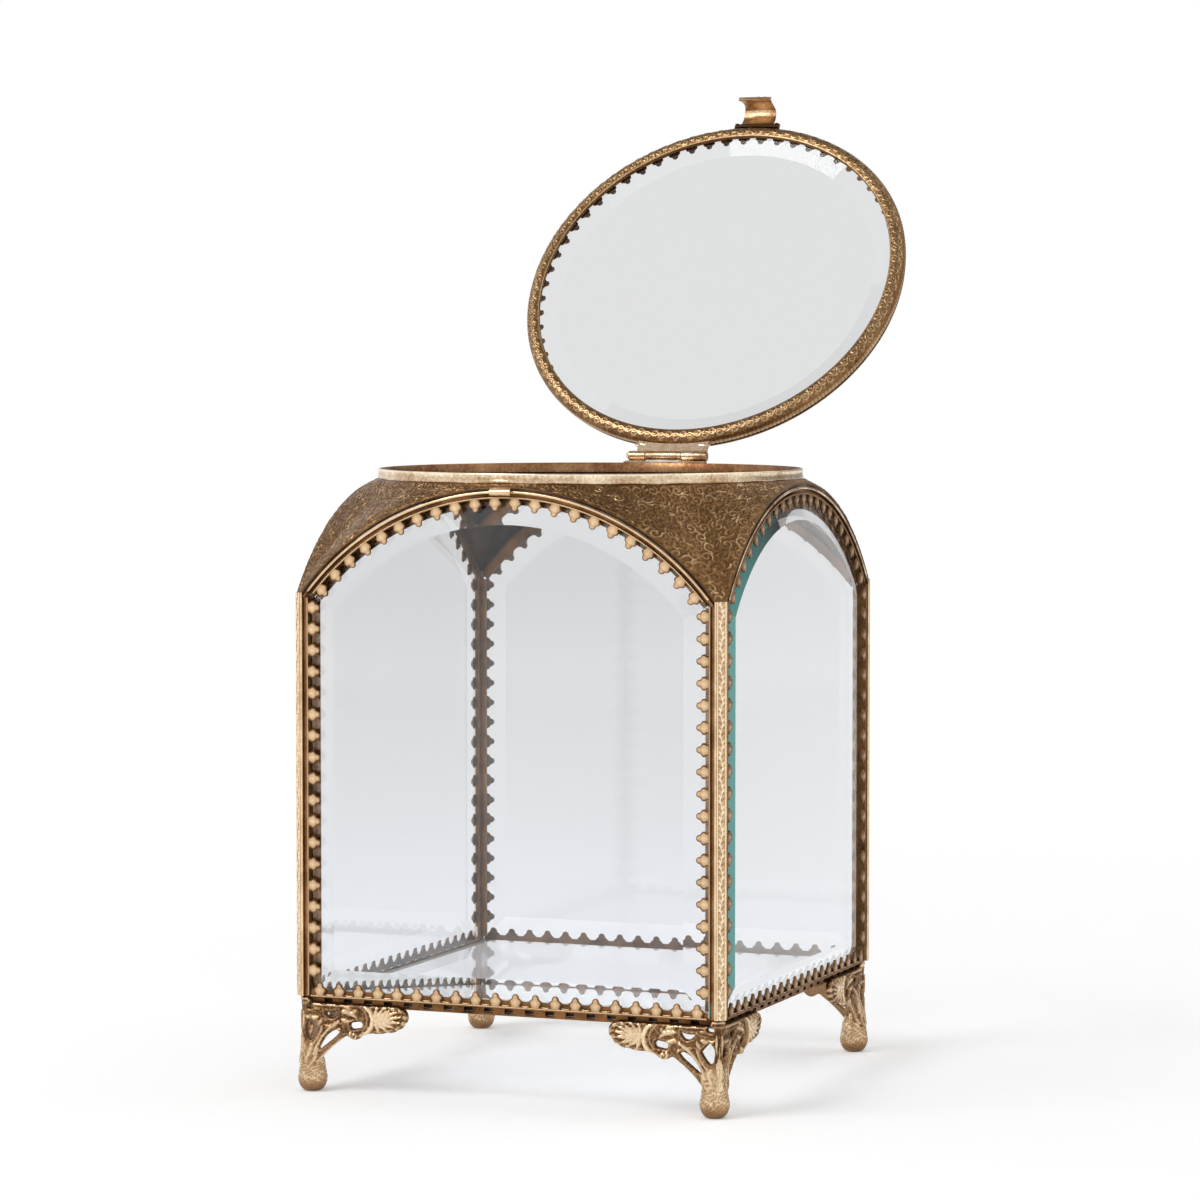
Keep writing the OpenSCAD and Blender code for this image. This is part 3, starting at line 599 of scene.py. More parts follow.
class CASKET_OT_strips(bpy.types.Operator):
    """Finishes the strips that hold the wall glass and domes their tabs"""

    bl_idname = "casket.strips"
    bl_label = "Strips and tabs"

    def execute(self, context):
        height = context.scene.casket_relief.tab / MM
        skin = TAB_SETBACK - HALF - 0.01
        dress("strips", *four("arch_frame_{}"), *four("side_strips_{}"), *four("sill_strip_{}"),
              *four("floor_rail_{}"))
        dress("copper", *four("inner_angle_{}", CORNERS))
        a = tab_angles(ARCH_TABS_R, ARCH_HALF_ANGLE)
        radial = spots(np.sin(a), 0, np.cos(a))
        low = BASE_H + SHEET + TAB_L + 0.3
        side = tab_stations(SIDE_TABS_TOP - low) + (low + SIDE_TABS_TOP) / 2
        sill = tab_stations(SILL_L)
        for k, face in enumerate(FACES):
            heap = Heap()
            place = lambda points, k=k: turned(points, k)
            add_tabs(heap, np.array([0, skin, ARCH_Z]) + radial * ARCH_TABS_R,
                     spots(np.cos(a), 0, -np.sin(a)), -radial, OUT, height, place)
            for hand in (-1, 1):
                add_tabs(heap, spots(hand * (HALF - SIDE_ROOT), skin, side), UP, -hand * ASIDE,
                         OUT, height, place)
            add_tabs(heap, spots(sill, skin, BASE_H + SHEET), ASIDE, UP, OUT, height, place)
            # The right face's tabs get the darker finish: painted shade.
            heap.finish("tabs_" + face, TAB_TONES[face], "gilt_strip")
        return {"FINISHED"}


def block(low, high):
    """Points and quads of a box between two corners."""
    points = [(x, y, z) for x in (low[0], high[0]) for y in (low[1], high[1])
              for z in (low[2], high[2])]
    return np.array(points, float), [(0, 1, 3, 2), (4, 6, 7, 5), (0, 4, 5, 1), (2, 3, 7, 6),
                                     (0, 2, 6, 4), (1, 5, 7, 3)]


class CASKET_OT_sills(bpy.types.Operator):
    """Adds the web behind the sill's tabs, its glinting edge and a dark sheet of painted shade
    behind the floor rail's slots
    """

    bl_idname = "casket.sills"
    bl_label = "Sill webs"

    def execute(self, context):
        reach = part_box("floor_glass")[1].x / MM
        web = SILL_L / 2 - 0.1
        # A thin dark sheet behind the floor rail's slots: painted shade.
        pieces = (("floor_rail_lining_", "inside", block((-reach, -reach - 0.06, 19.6),
                                                         (reach, -reach - 0.01, 21.0))),
                  ("sill_web_", "strips", block((-web, 0.78 - HALF, BASE_H + 0.1),
                                                (web, 0.98 - HALF, BASE_H + SHEET + 1.15))))
        tabs = tab_stations(SILL_L)
        for k, face in enumerate(FACES):
            for stem, finish, (points, quads) in pieces:
                Heap().add(turned(points, k), quads).finish(stem + face, finish, "gilt_strip",
                                                            crease=30)
            glints = Heap()
            for x in (tabs[1:] + tabs[:-1]) / 2:
                line = spots(x + np.array([-0.95, -0.4, 0.4, 0.95]),
                             np.array([0.42, 0.4, 0.4, 0.42]) - HALF,
                             BASE_H + np.array([0.62, 0.5, 0.5, 0.62]))
                glints.grid(turned(tube(line, OUT, 0.13, 6), k), np.full((6, 6), 0.9), wrap_m=True)
            glints.finish("sill_glints_" + face, "tabs", "gilt_strip")
        return {"FINISHED"}


class CASKET_OT_arches(bpy.types.Operator):
    """Adds the round bead and the fine beaded line along each arch, and the line of the sill"""

    bl_idname = "casket.arches"
    bl_label = "Arch beads"

    def execute(self, context):
        a = np.radians(np.linspace(-ARCH_HALF_ANGLE, ARCH_HALF_ANGLE, 181))
        radial = spots(np.sin(a), 0, np.cos(a))
        bead = tube(np.array([0, 0.16 - HALF, ARCH_Z]) + radial * (ARCH_R - 0.3), radial, 0.33)
        a = np.radians(np.linspace(-50.6, 50.6, 4 * 200 + 1))
        radial = spots(np.sin(a), 0, np.cos(a))
        skin = TAB_SETBACK - HALF
        x = np.linspace(0.1 - SILL_L / 2, SILL_L / 2 - 0.1, 4 * 160 + 1)
        z = np.linspace(BASE_H + 0.3, 108.6, 4 * 150 + 1)
        lines = [beaded(np.array([0, skin, ARCH_Z]) + radial * (ARCH_WEB - 0.2), radial, 0.24,
                        0.55),
                 beaded(spots(x, skin + 0.02, BASE_H + 0.2), UP, 0.22, 0.6)]
        lines += [beaded(spots(hand * (HALF - SIDE_ROOT + 0.2), skin + 0.02, z), OUT, 0.2, 0.6)
                  for hand in (-1, 1)]
        for k, face in enumerate(FACES):
            # On the right face the beaded lines take the darker tab finish and the bead the darker
            # hinge finish: painted shade.
            tone = TAB_TONES[face]
            Heap().grid(turned(bead, k), wrap_m=True).finish(
                "arch_bead_" + face, "hinge" if tone == "shaded" else "polished", "polished_brass")
            dots = Heap()
            for line in lines:
                dots.grid(turned(line, k), wrap_m=True)
            dots.finish("beaded_line_" + face, tone, "gilt_strip")
        return {"FINISHED"}


def band_ornament(b, z):
    """Ornament of a corner band by distance b from its middle and height z, 0 to 1: a row of
    small beads along each edge and a wavy stem with pairs of leaves between them."""
    edge = half_round(np.abs(b) - 0.94, 0.15) * (0.35 + 0.65 * arcs(z, 0.62) ** 0.6)
    stem = half_round(b - 0.3 * np.sin(2 * np.pi * z / 4.6), 0.13)
    hand = np.where(np.sin(2 * np.pi * (z / 4.6 - 0.12)) > 0, 1, -1)
    chevron = np.abs(np.sin(np.pi * (z / 1.15 - np.abs(b) * 0.55)))
    leaves = chevron ** 1.5 * smooth((0.8 - np.abs(b)) / 0.25) * (0.6 + 0.3 * hand * np.sign(b))
    return np.maximum(np.maximum(edge, stem), leaves * 0.9)


class CASKET_OT_posts(bpy.types.Operator):
    """Adds the embossed band and the two polished ridges to each corner post"""

    bl_idname = "casket.posts"
    bl_label = "Corner posts"

    def execute(self, context):
        height = context.scene.casket_relief.band / MM
        dress("channel", *four("post_{}", CORNERS))
        z = np.arange(BASE_H + 0.02, POST_TOP - 0.02, 0.155)
        b = np.linspace(-1.12, 1.12, 29)
        ornament = band_ornament(b[None], z[:, None])
        lift = 0.03 + height * ornament
        lift[:, (0, -1)] = -0.05
        middle = BAND_LEG / 2 - HALF
        points = spots(middle + (b[None] - lift) * DIAGONAL, middle - (b[None] + lift) * DIAGONAL,
                       z[:, None])
        run = z[[0, -1]]
        ridges = [tube(spots(1.88 - HALF, 0.24 - HALF, run), OUT, 0.31, 10),
                  tube(spots(0.24 - HALF, 1.88 - HALF, run), -ASIDE, 0.31, 10)]
        for k, corner in enumerate(CORNERS):
            Heap().grid(turned(points, k), 0.15 + 0.85 * ornament).finish(
                "post_band_" + corner, "band", "embossed_brass")
            heap = Heap()
            for ridge in ridges:
                heap.grid(turned(ridge, k), wrap_m=True)
            heap.finish("post_ridges_" + corner, "polished", "polished_brass", crease=60)
        return {"FINISHED"}


# The dome ------------------------------------------------------------------------------------

def edge_point(t):
    """Points of a spandrel's lower edge: along the front arch from its crown (t = 0) to the
    post (t = 1)."""
    a = np.radians(SHEET_ANGLE) * t
    return spots(-SHEET_R * np.sin(a), -HALF, ARCH_Z + SHEET_R * np.cos(a))


def collar_point(t):
    """The points of the collar above them."""
    b = np.radians(43) * t
    return spots(-COLLAR_R * np.sin(b), -COLLAR_R * np.cos(b), COLLAR_Z)


def dome_skin(columns, rows, bulge=0.8, facet=12):
    """Outer surface of a spandrel and its outward direction: straight lines from the arch to the
    collar, swollen outwards towards the diagonal by 27/4 h (1 - h) squared of the bulge. The
    other half is its mirror image, and a flat facet as wide as the post, of a few columns, lies
    between them. Then each point's distance round the axis from the diagonal, taken at a radius
    of 54, and its distance down from the collar."""
    t = np.linspace(0, 1, columns)
    h = np.linspace(0, 1, rows)
    low, high = edge_point(t), collar_point(t)
    along = unit(np.gradient(low + high, axis=0))
    along[0] = (-1, 0, 0)
    out = unit(np.cross(high - low, along))
    swell = bulge * smooth(t)
    arc = 6.75 * h * (1 - h) ** 2
    points = (low[:, None] + (high - low)[:, None] * h[None, :, None]
              + out[:, None] * (swell[:, None] * arc[None])[..., None])
    share = np.linspace(0, 1, facet + 2)[1:-1, None, None]

    def whole(half):
        other = half[::-1][..., [1, 0, 2]]
        return np.concatenate([half, half[-1] + (other[0] - half[-1]) * share, other])

    points, outward = whole(points), unit(whole(np.repeat(out[:, None], rows, 1)))
    across = 54 * (np.arctan2(points[..., 1], points[..., 0]) + 0.75 * np.pi)
    down = np.hypot(np.hypot(points[..., 0], points[..., 1]) - COLLAR_R,
                    points[..., 2] - COLLAR_Z)
    return points, outward, across, down


def veins(x, y, seed, size):
    """A net of fine raised lines: 1 where a field of seeded waves passes through nothing."""
    return np.clip(1 - 3.4 * np.abs(mottle(x, y, seed, size)), 0, 1)


def foliage(across, down, pitch, seed):
    """Height of all-over foliage, 0 to 1: rows of small scrolls, each with three leaves, turned by
    seeded angles, over a ground of fine veins."""
    draw = np.random.default_rng(seed)
    where = np.stack([across.ravel(), down.ravel()], -1)
    height = np.zeros(len(where))
    reach = int(np.abs(across).max() / pitch) + 1
    for row in range(int(down.max() / (pitch * 0.87)) + 2):
        for column in range(-reach, reach + 1):
            x = (column + 0.5 * (row % 2) + draw.uniform(-0.12, 0.12)) * pitch
            y = (row - 0.2) * pitch * 0.87
            start = draw.uniform(0, 360)
            hand = draw.choice((-1, 1))
            curves = [curl((x, y), pitch * 0.08, pitch * 0.42, start, hand * 430, 0.17, 0.26,
                           draw.uniform(0.6, 1.0))]
            for turn in (90, 200, 310):
                a, b = math.radians(start + turn), math.radians(start + turn) + 0.6 * hand
                root = (x + 0.4 * pitch * math.cos(a), y + 0.4 * pitch * math.sin(a))
                tip = (x + 0.85 * pitch * math.cos(b), y + 0.85 * pitch * math.sin(b))
                curves.append(leaf(root, tip, 0.34, draw.uniform(0.5, 0.9), 0.2 * hand, 9))
            near = np.nonzero((np.abs(where - (x, y)) < 1.2 * pitch).all(-1))[0]
            height[near] = np.maximum(height[near], ridge_height(where[near], curves))
    height = height.reshape(across.shape)
    ground = 0.45 * veins(across, down, seed + 1, 1.9)
    return np.maximum(height * (0.75 + 0.25 * mottle(across, down, seed + 2, 6)), ground)


class CASKET_OT_spandrels(bpy.types.Operator):
    """Lays the embossed sheet over the four domed corner pieces"""

    bl_idname = "casket.spandrels"
    bl_label = "Spandrels"

    def execute(self, context):
        height = context.scene.casket_relief.spandrel / MM
        points, outward, across, down = dome_skin(201, 150)
        ornament = foliage(across, down, 3.1, 7)
        rim = np.minimum(down.max(axis=1, keepdims=True) - down, down)
        ornament = ornament * smooth((rim - 0.25) / 0.5)
        dents = 0.12 * mottle(across, down, 3, 14)
        lift = 0.07 + height * ornament + 0.1 * smooth(rim / 3) * (0.5 + dents)
        lift[:, (0, -1)] = -0.08
        points = points + outward * lift[..., None]
        dress("inside", *four("spandrel_{}", CORNERS))
        for k, corner in enumerate(CORNERS):
            Heap().grid(turned(points, k), 0.22 + 0.62 * ornament ** 1.3).finish(
                "spandrel_sheet_" + corner, "spandrel", "embossed_brass")
        return {"FINISHED"}


def revolved(profiles):
    """Carries profiles of (radius, height) points once round the upright axis, one for each
    angle."""
    a = round_angles(len(profiles))[:, None]
    return np.stack([profiles[..., 0] * np.cos(a), profiles[..., 0] * np.sin(a),
                     profiles[..., 1]], -1)


class CASKET_OT_collar(bpy.types.Operator):
    """Makes the plain round collar, slightly uneven along its lower edge"""

    bl_idname = "casket.collar"
    bl_label = "Collar"

    def execute(self, context):
        inner, outer = COLLAR_R - SHELL_T, COLLAR_R
        profile = np.array([(inner, COLLAR_Z), (outer, COLLAR_Z - 0.12), (outer + 0.12, COLLAR_Z),
                            (outer + 0.1, COLLAR_Z + 0.5), (outer, COLLAR_Z + 0.75),
                            (outer, COLLAR_TOP - 0.5), (outer + 0.07, COLLAR_TOP - 0.3),
                            (outer, COLLAR_TOP - 0.08), (outer - 0.12, COLLAR_TOP),
                            (inner + 0.1, COLLAR_TOP), (inner, COLLAR_TOP - 0.1)])
        # Level of the colour at each profile point: lowest over the inside, as tarnish and painted
        # shade, and highest along the outer top edge, a painted highlight.
        shine = np.array([0.2, 0.3, 0.45, 0.66, 0.62, 0.68, 0.9, 0.9, 0.7, 0.3, 0.16])
        profiles = np.repeat(profile[None], 540, 0)
        a = round_angles(len(profiles))
        wave = 0.13 * mottle(np.cos(a) * 47, np.sin(a) * 47, 11, 9)
        profiles[:, 1:4, 1] += wave[:, None]
        Heap().grid(revolved(profiles), np.repeat(shine[None], len(profiles), 0), wrap_n=True,
                    wrap_m=True).finish("collar_band", "collar", "polished_brass",
                                        replaces=("collar",), crease=50)
        return {"FINISHED"}


# The lid -------------------------------------------------------------------------------------

# The lid rim's outer surface, inside to outside, by radius and height over the collar.
RIM_PROFILE = np.array([(43.93, 0.12), (43.98, -0.1), (44.25, -0.32), (44.8, -0.45),
                        (45.4, -0.46), (46.0, -0.34), (46.6, -0.02), (47.04, 0.42), (47.31, 1.1),
                        (47.36, 1.6), (47.24, 2.2), (46.86, 2.75), (46.34, 3.06), (45.82, 3.15),
                        (45.74, 3.05)])
RIM_R = 46.48  # its middle line


def resampled(line, count):
    """A line through the given points with count points evenly along it, and the distance of
    each from its start."""
    gone = np.concatenate([[0], np.cumsum(np.linalg.norm(np.diff(line, axis=0), axis=-1))])
    want = np.linspace(0, gone[-1], count)
    return np.stack([np.interp(want, gone, line[:, i]) for i in range(line.shape[1])], -1), want


def rim_ornament(u, v):
    """Ornament of the lid rim by distance u round it and v across it, 0 to 1: a fine wavy stem
    with a curled leaf in each bend over a ground of veins, beads along the inner edge and ribs
    along the outer one."""
    bend = 3.66
    height = half_round(v - 2.1 - 0.55 * np.sin(2 * np.pi * u / bend), 0.2)
    for shift, hand in ((0.25, -1), (0.75, 1)):
        x = ((u / bend - shift + 0.5) % 1 - 0.5) * bend
        y = v - 2.1 - 0.45 * hand
        gap, turn = np.hypot(x, y), np.arctan2(y * hand, x)
        curled = half_round(gap - 0.22 - 0.1 * (turn + np.pi), 0.17)
        height = np.maximum(height, curled * (gap < 0.95) * 0.85)
    height = np.maximum(height, 0.55 * veins(u, v, 31, 1.6) * smooth((4.2 - v) / 0.6))
    height = np.maximum(height, half_round(v - 0.4, 0.26) * (0.6 + 0.4 * arcs(u, 0.55)))
    ribs = (0.25 + 0.6 * arcs(u, 1.0)) * smooth((v - 4.1) / 0.3)
    return np.maximum(height, ribs * smooth((6.4 - v) / 0.8) * 0.8)


class CASKET_OT_lid(bpy.types.Operator):
    """Finishes the lid: its embossed half-round rim and the domed tabs over its glass"""

    bl_idname = "casket.lid"
    bl_label = "Lid"

    def execute(self, context):
        relief = context.scene.casket_relief
        dress("strips", "lid_tab_ring", "lid_rim")
        line, v = resampled(RIM_PROFILE, 34)
        slope = unit(np.gradient(line, axis=0))
        out = np.stack([slope[:, 1], -slope[:, 0]], -1)
        a = round_angles(1200)
        ornament = rim_ornament(a[:, None] * RIM_R, v[None])
        ornament = ornament * smooth(v / 0.3)[None] * smooth((v[-1] - v) / 0.4)[None]
        profiles = line[None] + out[None] * (relief.rim / MM * (ornament - 0.35))[..., None]
        Heap().grid(opened(revolved(profiles + np.array([0, LID_Z]))), 0.28 + 0.62 * ornament,
                    wrap_n=True).finish("lid_rim_sheet", "rim", "embossed_brass", body="lid")
        heap = Heap()
        root = LID_R - 1.1
        a = tab_angles(root, 180)
        radial = spots(np.sin(a), np.cos(a), 0)
        add_tabs(heap, radial * root + (LID_Z + RIM_H + SHEET + 0.01) * UP,
                 spots(np.cos(a), -np.sin(a), 0), -radial, UP, relief.tab / MM, opened)
        heap.finish("lid_tabs", "tabs", "gilt_strip", body="lid")
        return {"FINISHED"}


# The feet ------------------------------------------------------------------------------------

def bowed(p, q, rise, steps=10):
    """Points from p to q along a parabola of the given rise to the left."""
    p, q = np.array(p, float), np.array(q, float)
    t = np.linspace(0, 1, steps + 1)[:, None]
    side = np.array([-(q - p)[1], (q - p)[0]]) / np.hypot(*(q - p))
    return p + (q - p) * t + side * 4 * rise * t * (1 - t)


def capsule(p, q, r):
    """Outline of a rounded slot from p to q."""
    p, q = np.array(p, float), np.array(q, float)
    a = math.atan2(*(q - p)[::-1])
    t = np.linspace(-np.pi / 2, np.pi / 2, 9)
    ends = [c + r * np.stack([np.cos(a + t + back), np.sin(a + t + back)], -1)
            for c, back in ((q, 0), (p, np.pi))]
    return np.concatenate(ends)


def below(u, d):
    """Distance from the corner and height of a point that lies d below the post."""
    return u, BASE_H - d


def deep(*points):
    """Such points in a row."""
    return np.array([below(*point) for point in points], float)


# A wing's edge from the top of the palmette round below it and back to the leg: bows from a point
# to a point, by distance from the corner and depth, and how far each bow rises.
WING_EDGE = (((20.6, 1.3), (22.6, 1.25), 0.12), ((22.8, 1.3), (24.8, 1.5), 0.2),
             ((25.0, 1.6), (26.5, 3.0), 0.3), ((26.5, 3.2), (26.0, 4.9), 0.25),
             ((25.8, 5.0), (24.4, 6.4), 0.25), ((24.2, 6.5), (21.8, 7.1), 0.25),
             ((21.5, 7.15), (18.6, 7.5), 0.2), ((18.4, 7.5), (15.8, 8.1), -0.1),
             ((15.5, 8.3), (12.4, 8.5), 0.75), ((12.1, 8.4), (11.2, 8.8), -0.1))


def wing_loops():
    """Outline and openings of a wing, by distance from the corner and height."""
    outline = np.concatenate(
        [[(-3, 4.6), (-3, BASE_H - 0.02), (3.0, BASE_H - 0.02)], deep((3.4, 1.2), (20.5, 1.3))]
        + [bowed(below(*p), below(*q), rise) for p, q, rise in WING_EDGE]
        + [bowed(below(11.0, 9.0), (4.9, 6.4), -0.35), [(4.5, 4.6)]])
    return [
        outline,
        deep((10.3, 7.6), (9.8, 7.25), (9.3, 7.2), (8.4, 7.6), (7.4, 8.3), (6.7, 9.1), (6.1, 10.0),
             (5.6, 10.9), (5.4, 11.4), (5.5, 11.6), (5.7, 11.6), (6.4, 11.0), (7.3, 10.3),
             (8.2, 9.6), (9.1, 8.9), (9.9, 8.1)),
        capsule(below(13.6, 6.05), below(15.1, 5.8), 0.72),
        np.concatenate([bowed(below(6.8, 3.3), below(10.0, 2.9), -0.25),
                        bowed(below(10.0, 3.2), below(6.9, 3.6), 1.15)]),
        capsule(below(2.9, 2.3), below(3.6, 2.2), 0.42),
        deep((5.4, 7.0), (4.5, 6.0), (3.5, 4.9), (2.6, 6.0), (1.9, 6.9), (2.3, 8.1), (2.7, 9.0),
             (3.2, 9.6), (3.7, 9.3), (4.2, 8.8), (4.9, 7.8))]


def dense(loop, step=0.08):
    """Points close together all along a closed outline."""
    line = np.concatenate([loop, loop[:1]])
    length = np.linalg.norm(np.diff(line, axis=0), axis=-1).sum()
    return resampled(line, int(length / step))[0]


def inside(points, loops):
    """Whether each point lies within an odd number of the outlines."""
    odd = np.zeros(len(points), bool)
    x, y = points[:, :1], points[:, 1:]
    for loop in loops:
        a, b = loop, np.roll(loop, -1, 0)
        crosses = (a[None, :, 1] > y) != (b[None, :, 1] > y)
        rise = np.where(b[:, 1] == a[:, 1], 1e-9, b[:, 1] - a[:, 1])
        at = a[None, :, 0] + (y - a[None, :, 1]) * (b[:, 0] - a[:, 0])[None] / rise[None]
        odd ^= ((crosses & (x < at)).sum(-1) % 2).astype(bool)
    return odd


# Leaves of a wing: root, tip, width, height and bend.
WING_LEAVES = (
    (1.0, 3.2, 0.7, 7.8, 0.7, 0.8, 0.08), (0, 5.5, 0, 9.6, 0.5, 0.7, 0),
    (0.2, 8.4, 0.3, 13.2, 0.9, 0.9, 0.06), (1.4, 9.4, 0.9, 12.8, 0.6, 0.8, -0.1),
    (3.6, 10.4, 2.0, 14.4, 0.7, 0.85, 0.12), (0, 11.6, 1.9, 15.8, 0.75, 0.85, -0.12),
    (0.3, 13.2, 0.3, 16.4, 0.85, 0.9, 0), (10.8, 3.0, 15.0, 4.6, 0.75, 0.85, 0.12),
    (10.8, 4.6, 13.6, 5.0, 0.6, 0.8, -0.12), (14.6, 2.4, 11.6, 3.4, 0.5, 0.7, 0.2),
    (10.2, 5.0, 7.0, 6.2, 0.6, 0.75, 0.2), (6.2, 4.8, 5.2, 6.3, 0.55, 0.75, 0.1),
    (5.6, 4.4, 1.4, 4.0, 0.6, 0.75, 0.15), (5.9, 9.2, 4.0, 13.4, 0.6, 0.8, 0.1),
    (5.2, 12.2, 2.4, 16.0, 0.55, 0.8, 0.1), (1.5, 11.5, 3.8, 15.2, 0.55, 0.75, -0.1))
PALMETTE_ROOT = (19.0, 4.9)
PALMETTE_TIPS = ((19.4, 1.7), (21.2, 1.6), (23.2, 1.8), (25.0, 2.2), (26.1, 3.5), (25.7, 4.9),
                 (24.2, 6.2), (22.0, 6.8), (19.8, 7.1))


def foot_strands():
    """The ornament of a wing: mouldings under the post, a ribbon between the body and the
    palmette, a scroll under the eye, bars along the openings, leaves, and the palmette's ribs."""
    path = lambda *points: resampled(deep(*points), 60)[0]
    curves = [
        (path((0, 0.5), (2.8, 0.6), (3.7, 1.7), (11.4, 1.75), (13.0, 2.3)), 0.4, 0.8),
        (path((0, 1.5), (2.4, 1.65), (3.6, 2.6), (5.6, 2.75)), 0.3, 0.55),
        (path((16.5, 1.6), (17.8, 2.6), (18.4, 4.2), (18.2, 6.0), (17.2, 7.3), (15.6, 8.3)), 0.62,
         1.0),
        (path((15.6, 1.9), (16.7, 3.0), (17.1, 4.3), (16.9, 5.8), (16.0, 7.0)), 0.28, 0.6),
        curl(below(13.9, 8.2), 0.15, 1.0, 200, -420, 0.25, 0.42, 0.9, 50),
        (bowed(below(11.2, 9.1), (5.2, 6.6), -0.3, 50), 0.48, 0.95),
        (bowed(below(10.6, 6.9), below(5.0, 11.6), -0.9, 50), 0.3, 0.7),
        (bowed(below(10.2, 5.4), below(4.4, 12.6), -0.9, 60), 0.42, 0.85),
        (bowed(below(6.2, 6.6), below(3.9, 10.6), 0.4, 40), 0.35, 0.75)]
    curves += [leaf(below(*row[:2]), below(*row[2:4]), *row[4:]) for row in WING_LEAVES]
    for tip in PALMETTE_TIPS:
        curves.append(leaf(below(*PALMETTE_ROOT), below(*tip), 0.66, 0.9, 0.03))
        curves.append(curl(below(*tip), 0.1, 0.4, 0, 360, 0.3, 0.3, 0.8, 12))
    return curves


def foot_sheet():
    """One foot as a sheet of cells s by z: s runs from one wing's end round the corner to the
    other's. Cells whose middle lies outside the outline or in an opening are left out, and the
    points along the cuts are drawn onto the outline. Gives the flat places of the points used,
    the distance of each from a cut, the cells, and the cells' cut edges."""
    loops = wing_loops()
    s = np.linspace(-26.7, 26.7, 245)
    z = np.linspace(4.7, BASE_H, 78)
    flat = np.stack(np.meshgrid(s, z, indexing="ij"), -1)
    middle = (flat[1:, 1:] + flat[:-1, :-1]) / 2
    folded = lambda p: np.stack([np.abs(p[..., 0]), p[..., 1]], -1).reshape(-1, 2)
    kept = inside(folded(middle), loops).reshape(middle.shape[:2])
    rim = np.concatenate([dense(loop) for loop in loops])
    rim = rim[rim[:, 0] > -0.6]
    used = np.zeros(flat.shape[:2], int)
    for i in (0, 1):
        for j in (0, 1):
            used[i:i + kept.shape[0], j:j + kept.shape[1]] += kept
    where = folded(flat)
    gap = np.full(len(where), 9.0)
    nearest = where.copy()
    for part in np.array_split(np.nonzero(used.ravel())[0], 24):
        away = np.linalg.norm(where[part, None] - rim[None], axis=-1)
        pick = away.argmin(-1)
        gap[part] = away[np.arange(len(part)), pick]
        nearest[part] = rim[pick]
    gap = gap.reshape(used.shape)
    nearest = nearest.reshape(flat.shape)
    cut = (used > 0) & (used < 4)
    hand = np.where(flat[..., 0] < 0, -1.0, 1.0)
    flat[cut] = np.stack([nearest[..., 0] * hand, nearest[..., 1]], -1)[cut]
    gap[cut] = 0
    number = np.full(used.shape, -1)
    number[used > 0] = np.arange((used > 0).sum())
    cells = np.stack([number[:-1, :-1], number[1:, :-1], number[1:, 1:], number[:-1, 1:]], -1)[kept]
    padded = np.pad(kept, 1)
    edges = []
    for (di, dj), (a, b) in (((-1, 0), ((0, 1), (0, 0))), ((1, 0), ((1, 0), (1, 1))),
                             ((0, -1), ((0, 0), (1, 0))), ((0, 1), ((1, 1), (0, 1)))):
        open_side = kept & ~padded[1 + di:1 + di + kept.shape[0], 1 + dj:1 + dj + kept.shape[1]]
        i, j = np.nonzero(open_side)
        edges.append(np.stack([number[i + a[0], j + a[1]], number[i + b[0], j + b[1]]], -1))
    return flat[used > 0], gap[used > 0], cells, np.concatenate(edges)


def foot_place(flat, depth):
    """Takes flat places s, z and a depth inwards from the wings' outer faces to points at the
    front left corner. Within 2.6 of the corner the sheet turns through a quarter round."""
    bend, reach = 1.6, 2.6
    u = np.abs(flat[:, 0])
    turn = np.radians(45) * (1 - np.clip(u / reach, -1, 1))
    out = np.stack([-np.sin(turn), -np.cos(turn)], -1)
    place = np.array([reach, reach]) + bend * out
    place[:, 0] += np.clip(u - reach, 0, None)
    place = place - out * depth[:, None]
    left = flat[:, 0] < 0
    place[left] = place[left][:, ::-1]
    return np.stack([place[:, 0] - HALF, place[:, 1] - HALF, flat[:, 1]], -1)


# A toe from the table up, by radius and height.
TOE_PROFILE = np.array([(0.02, 0), (1.3, 0), (1.75, 0.08), (2.3, 0.45), (2.85, 1.2), (3.12, 2.1),
                        (3.15, 3.0), (3.0, 4.0), (2.82, 5.0), (2.7, 6.0), (2.5, 7.0), (2.0, 8.2),
                        (1.2, 9.2), (0.02, 9.6)])


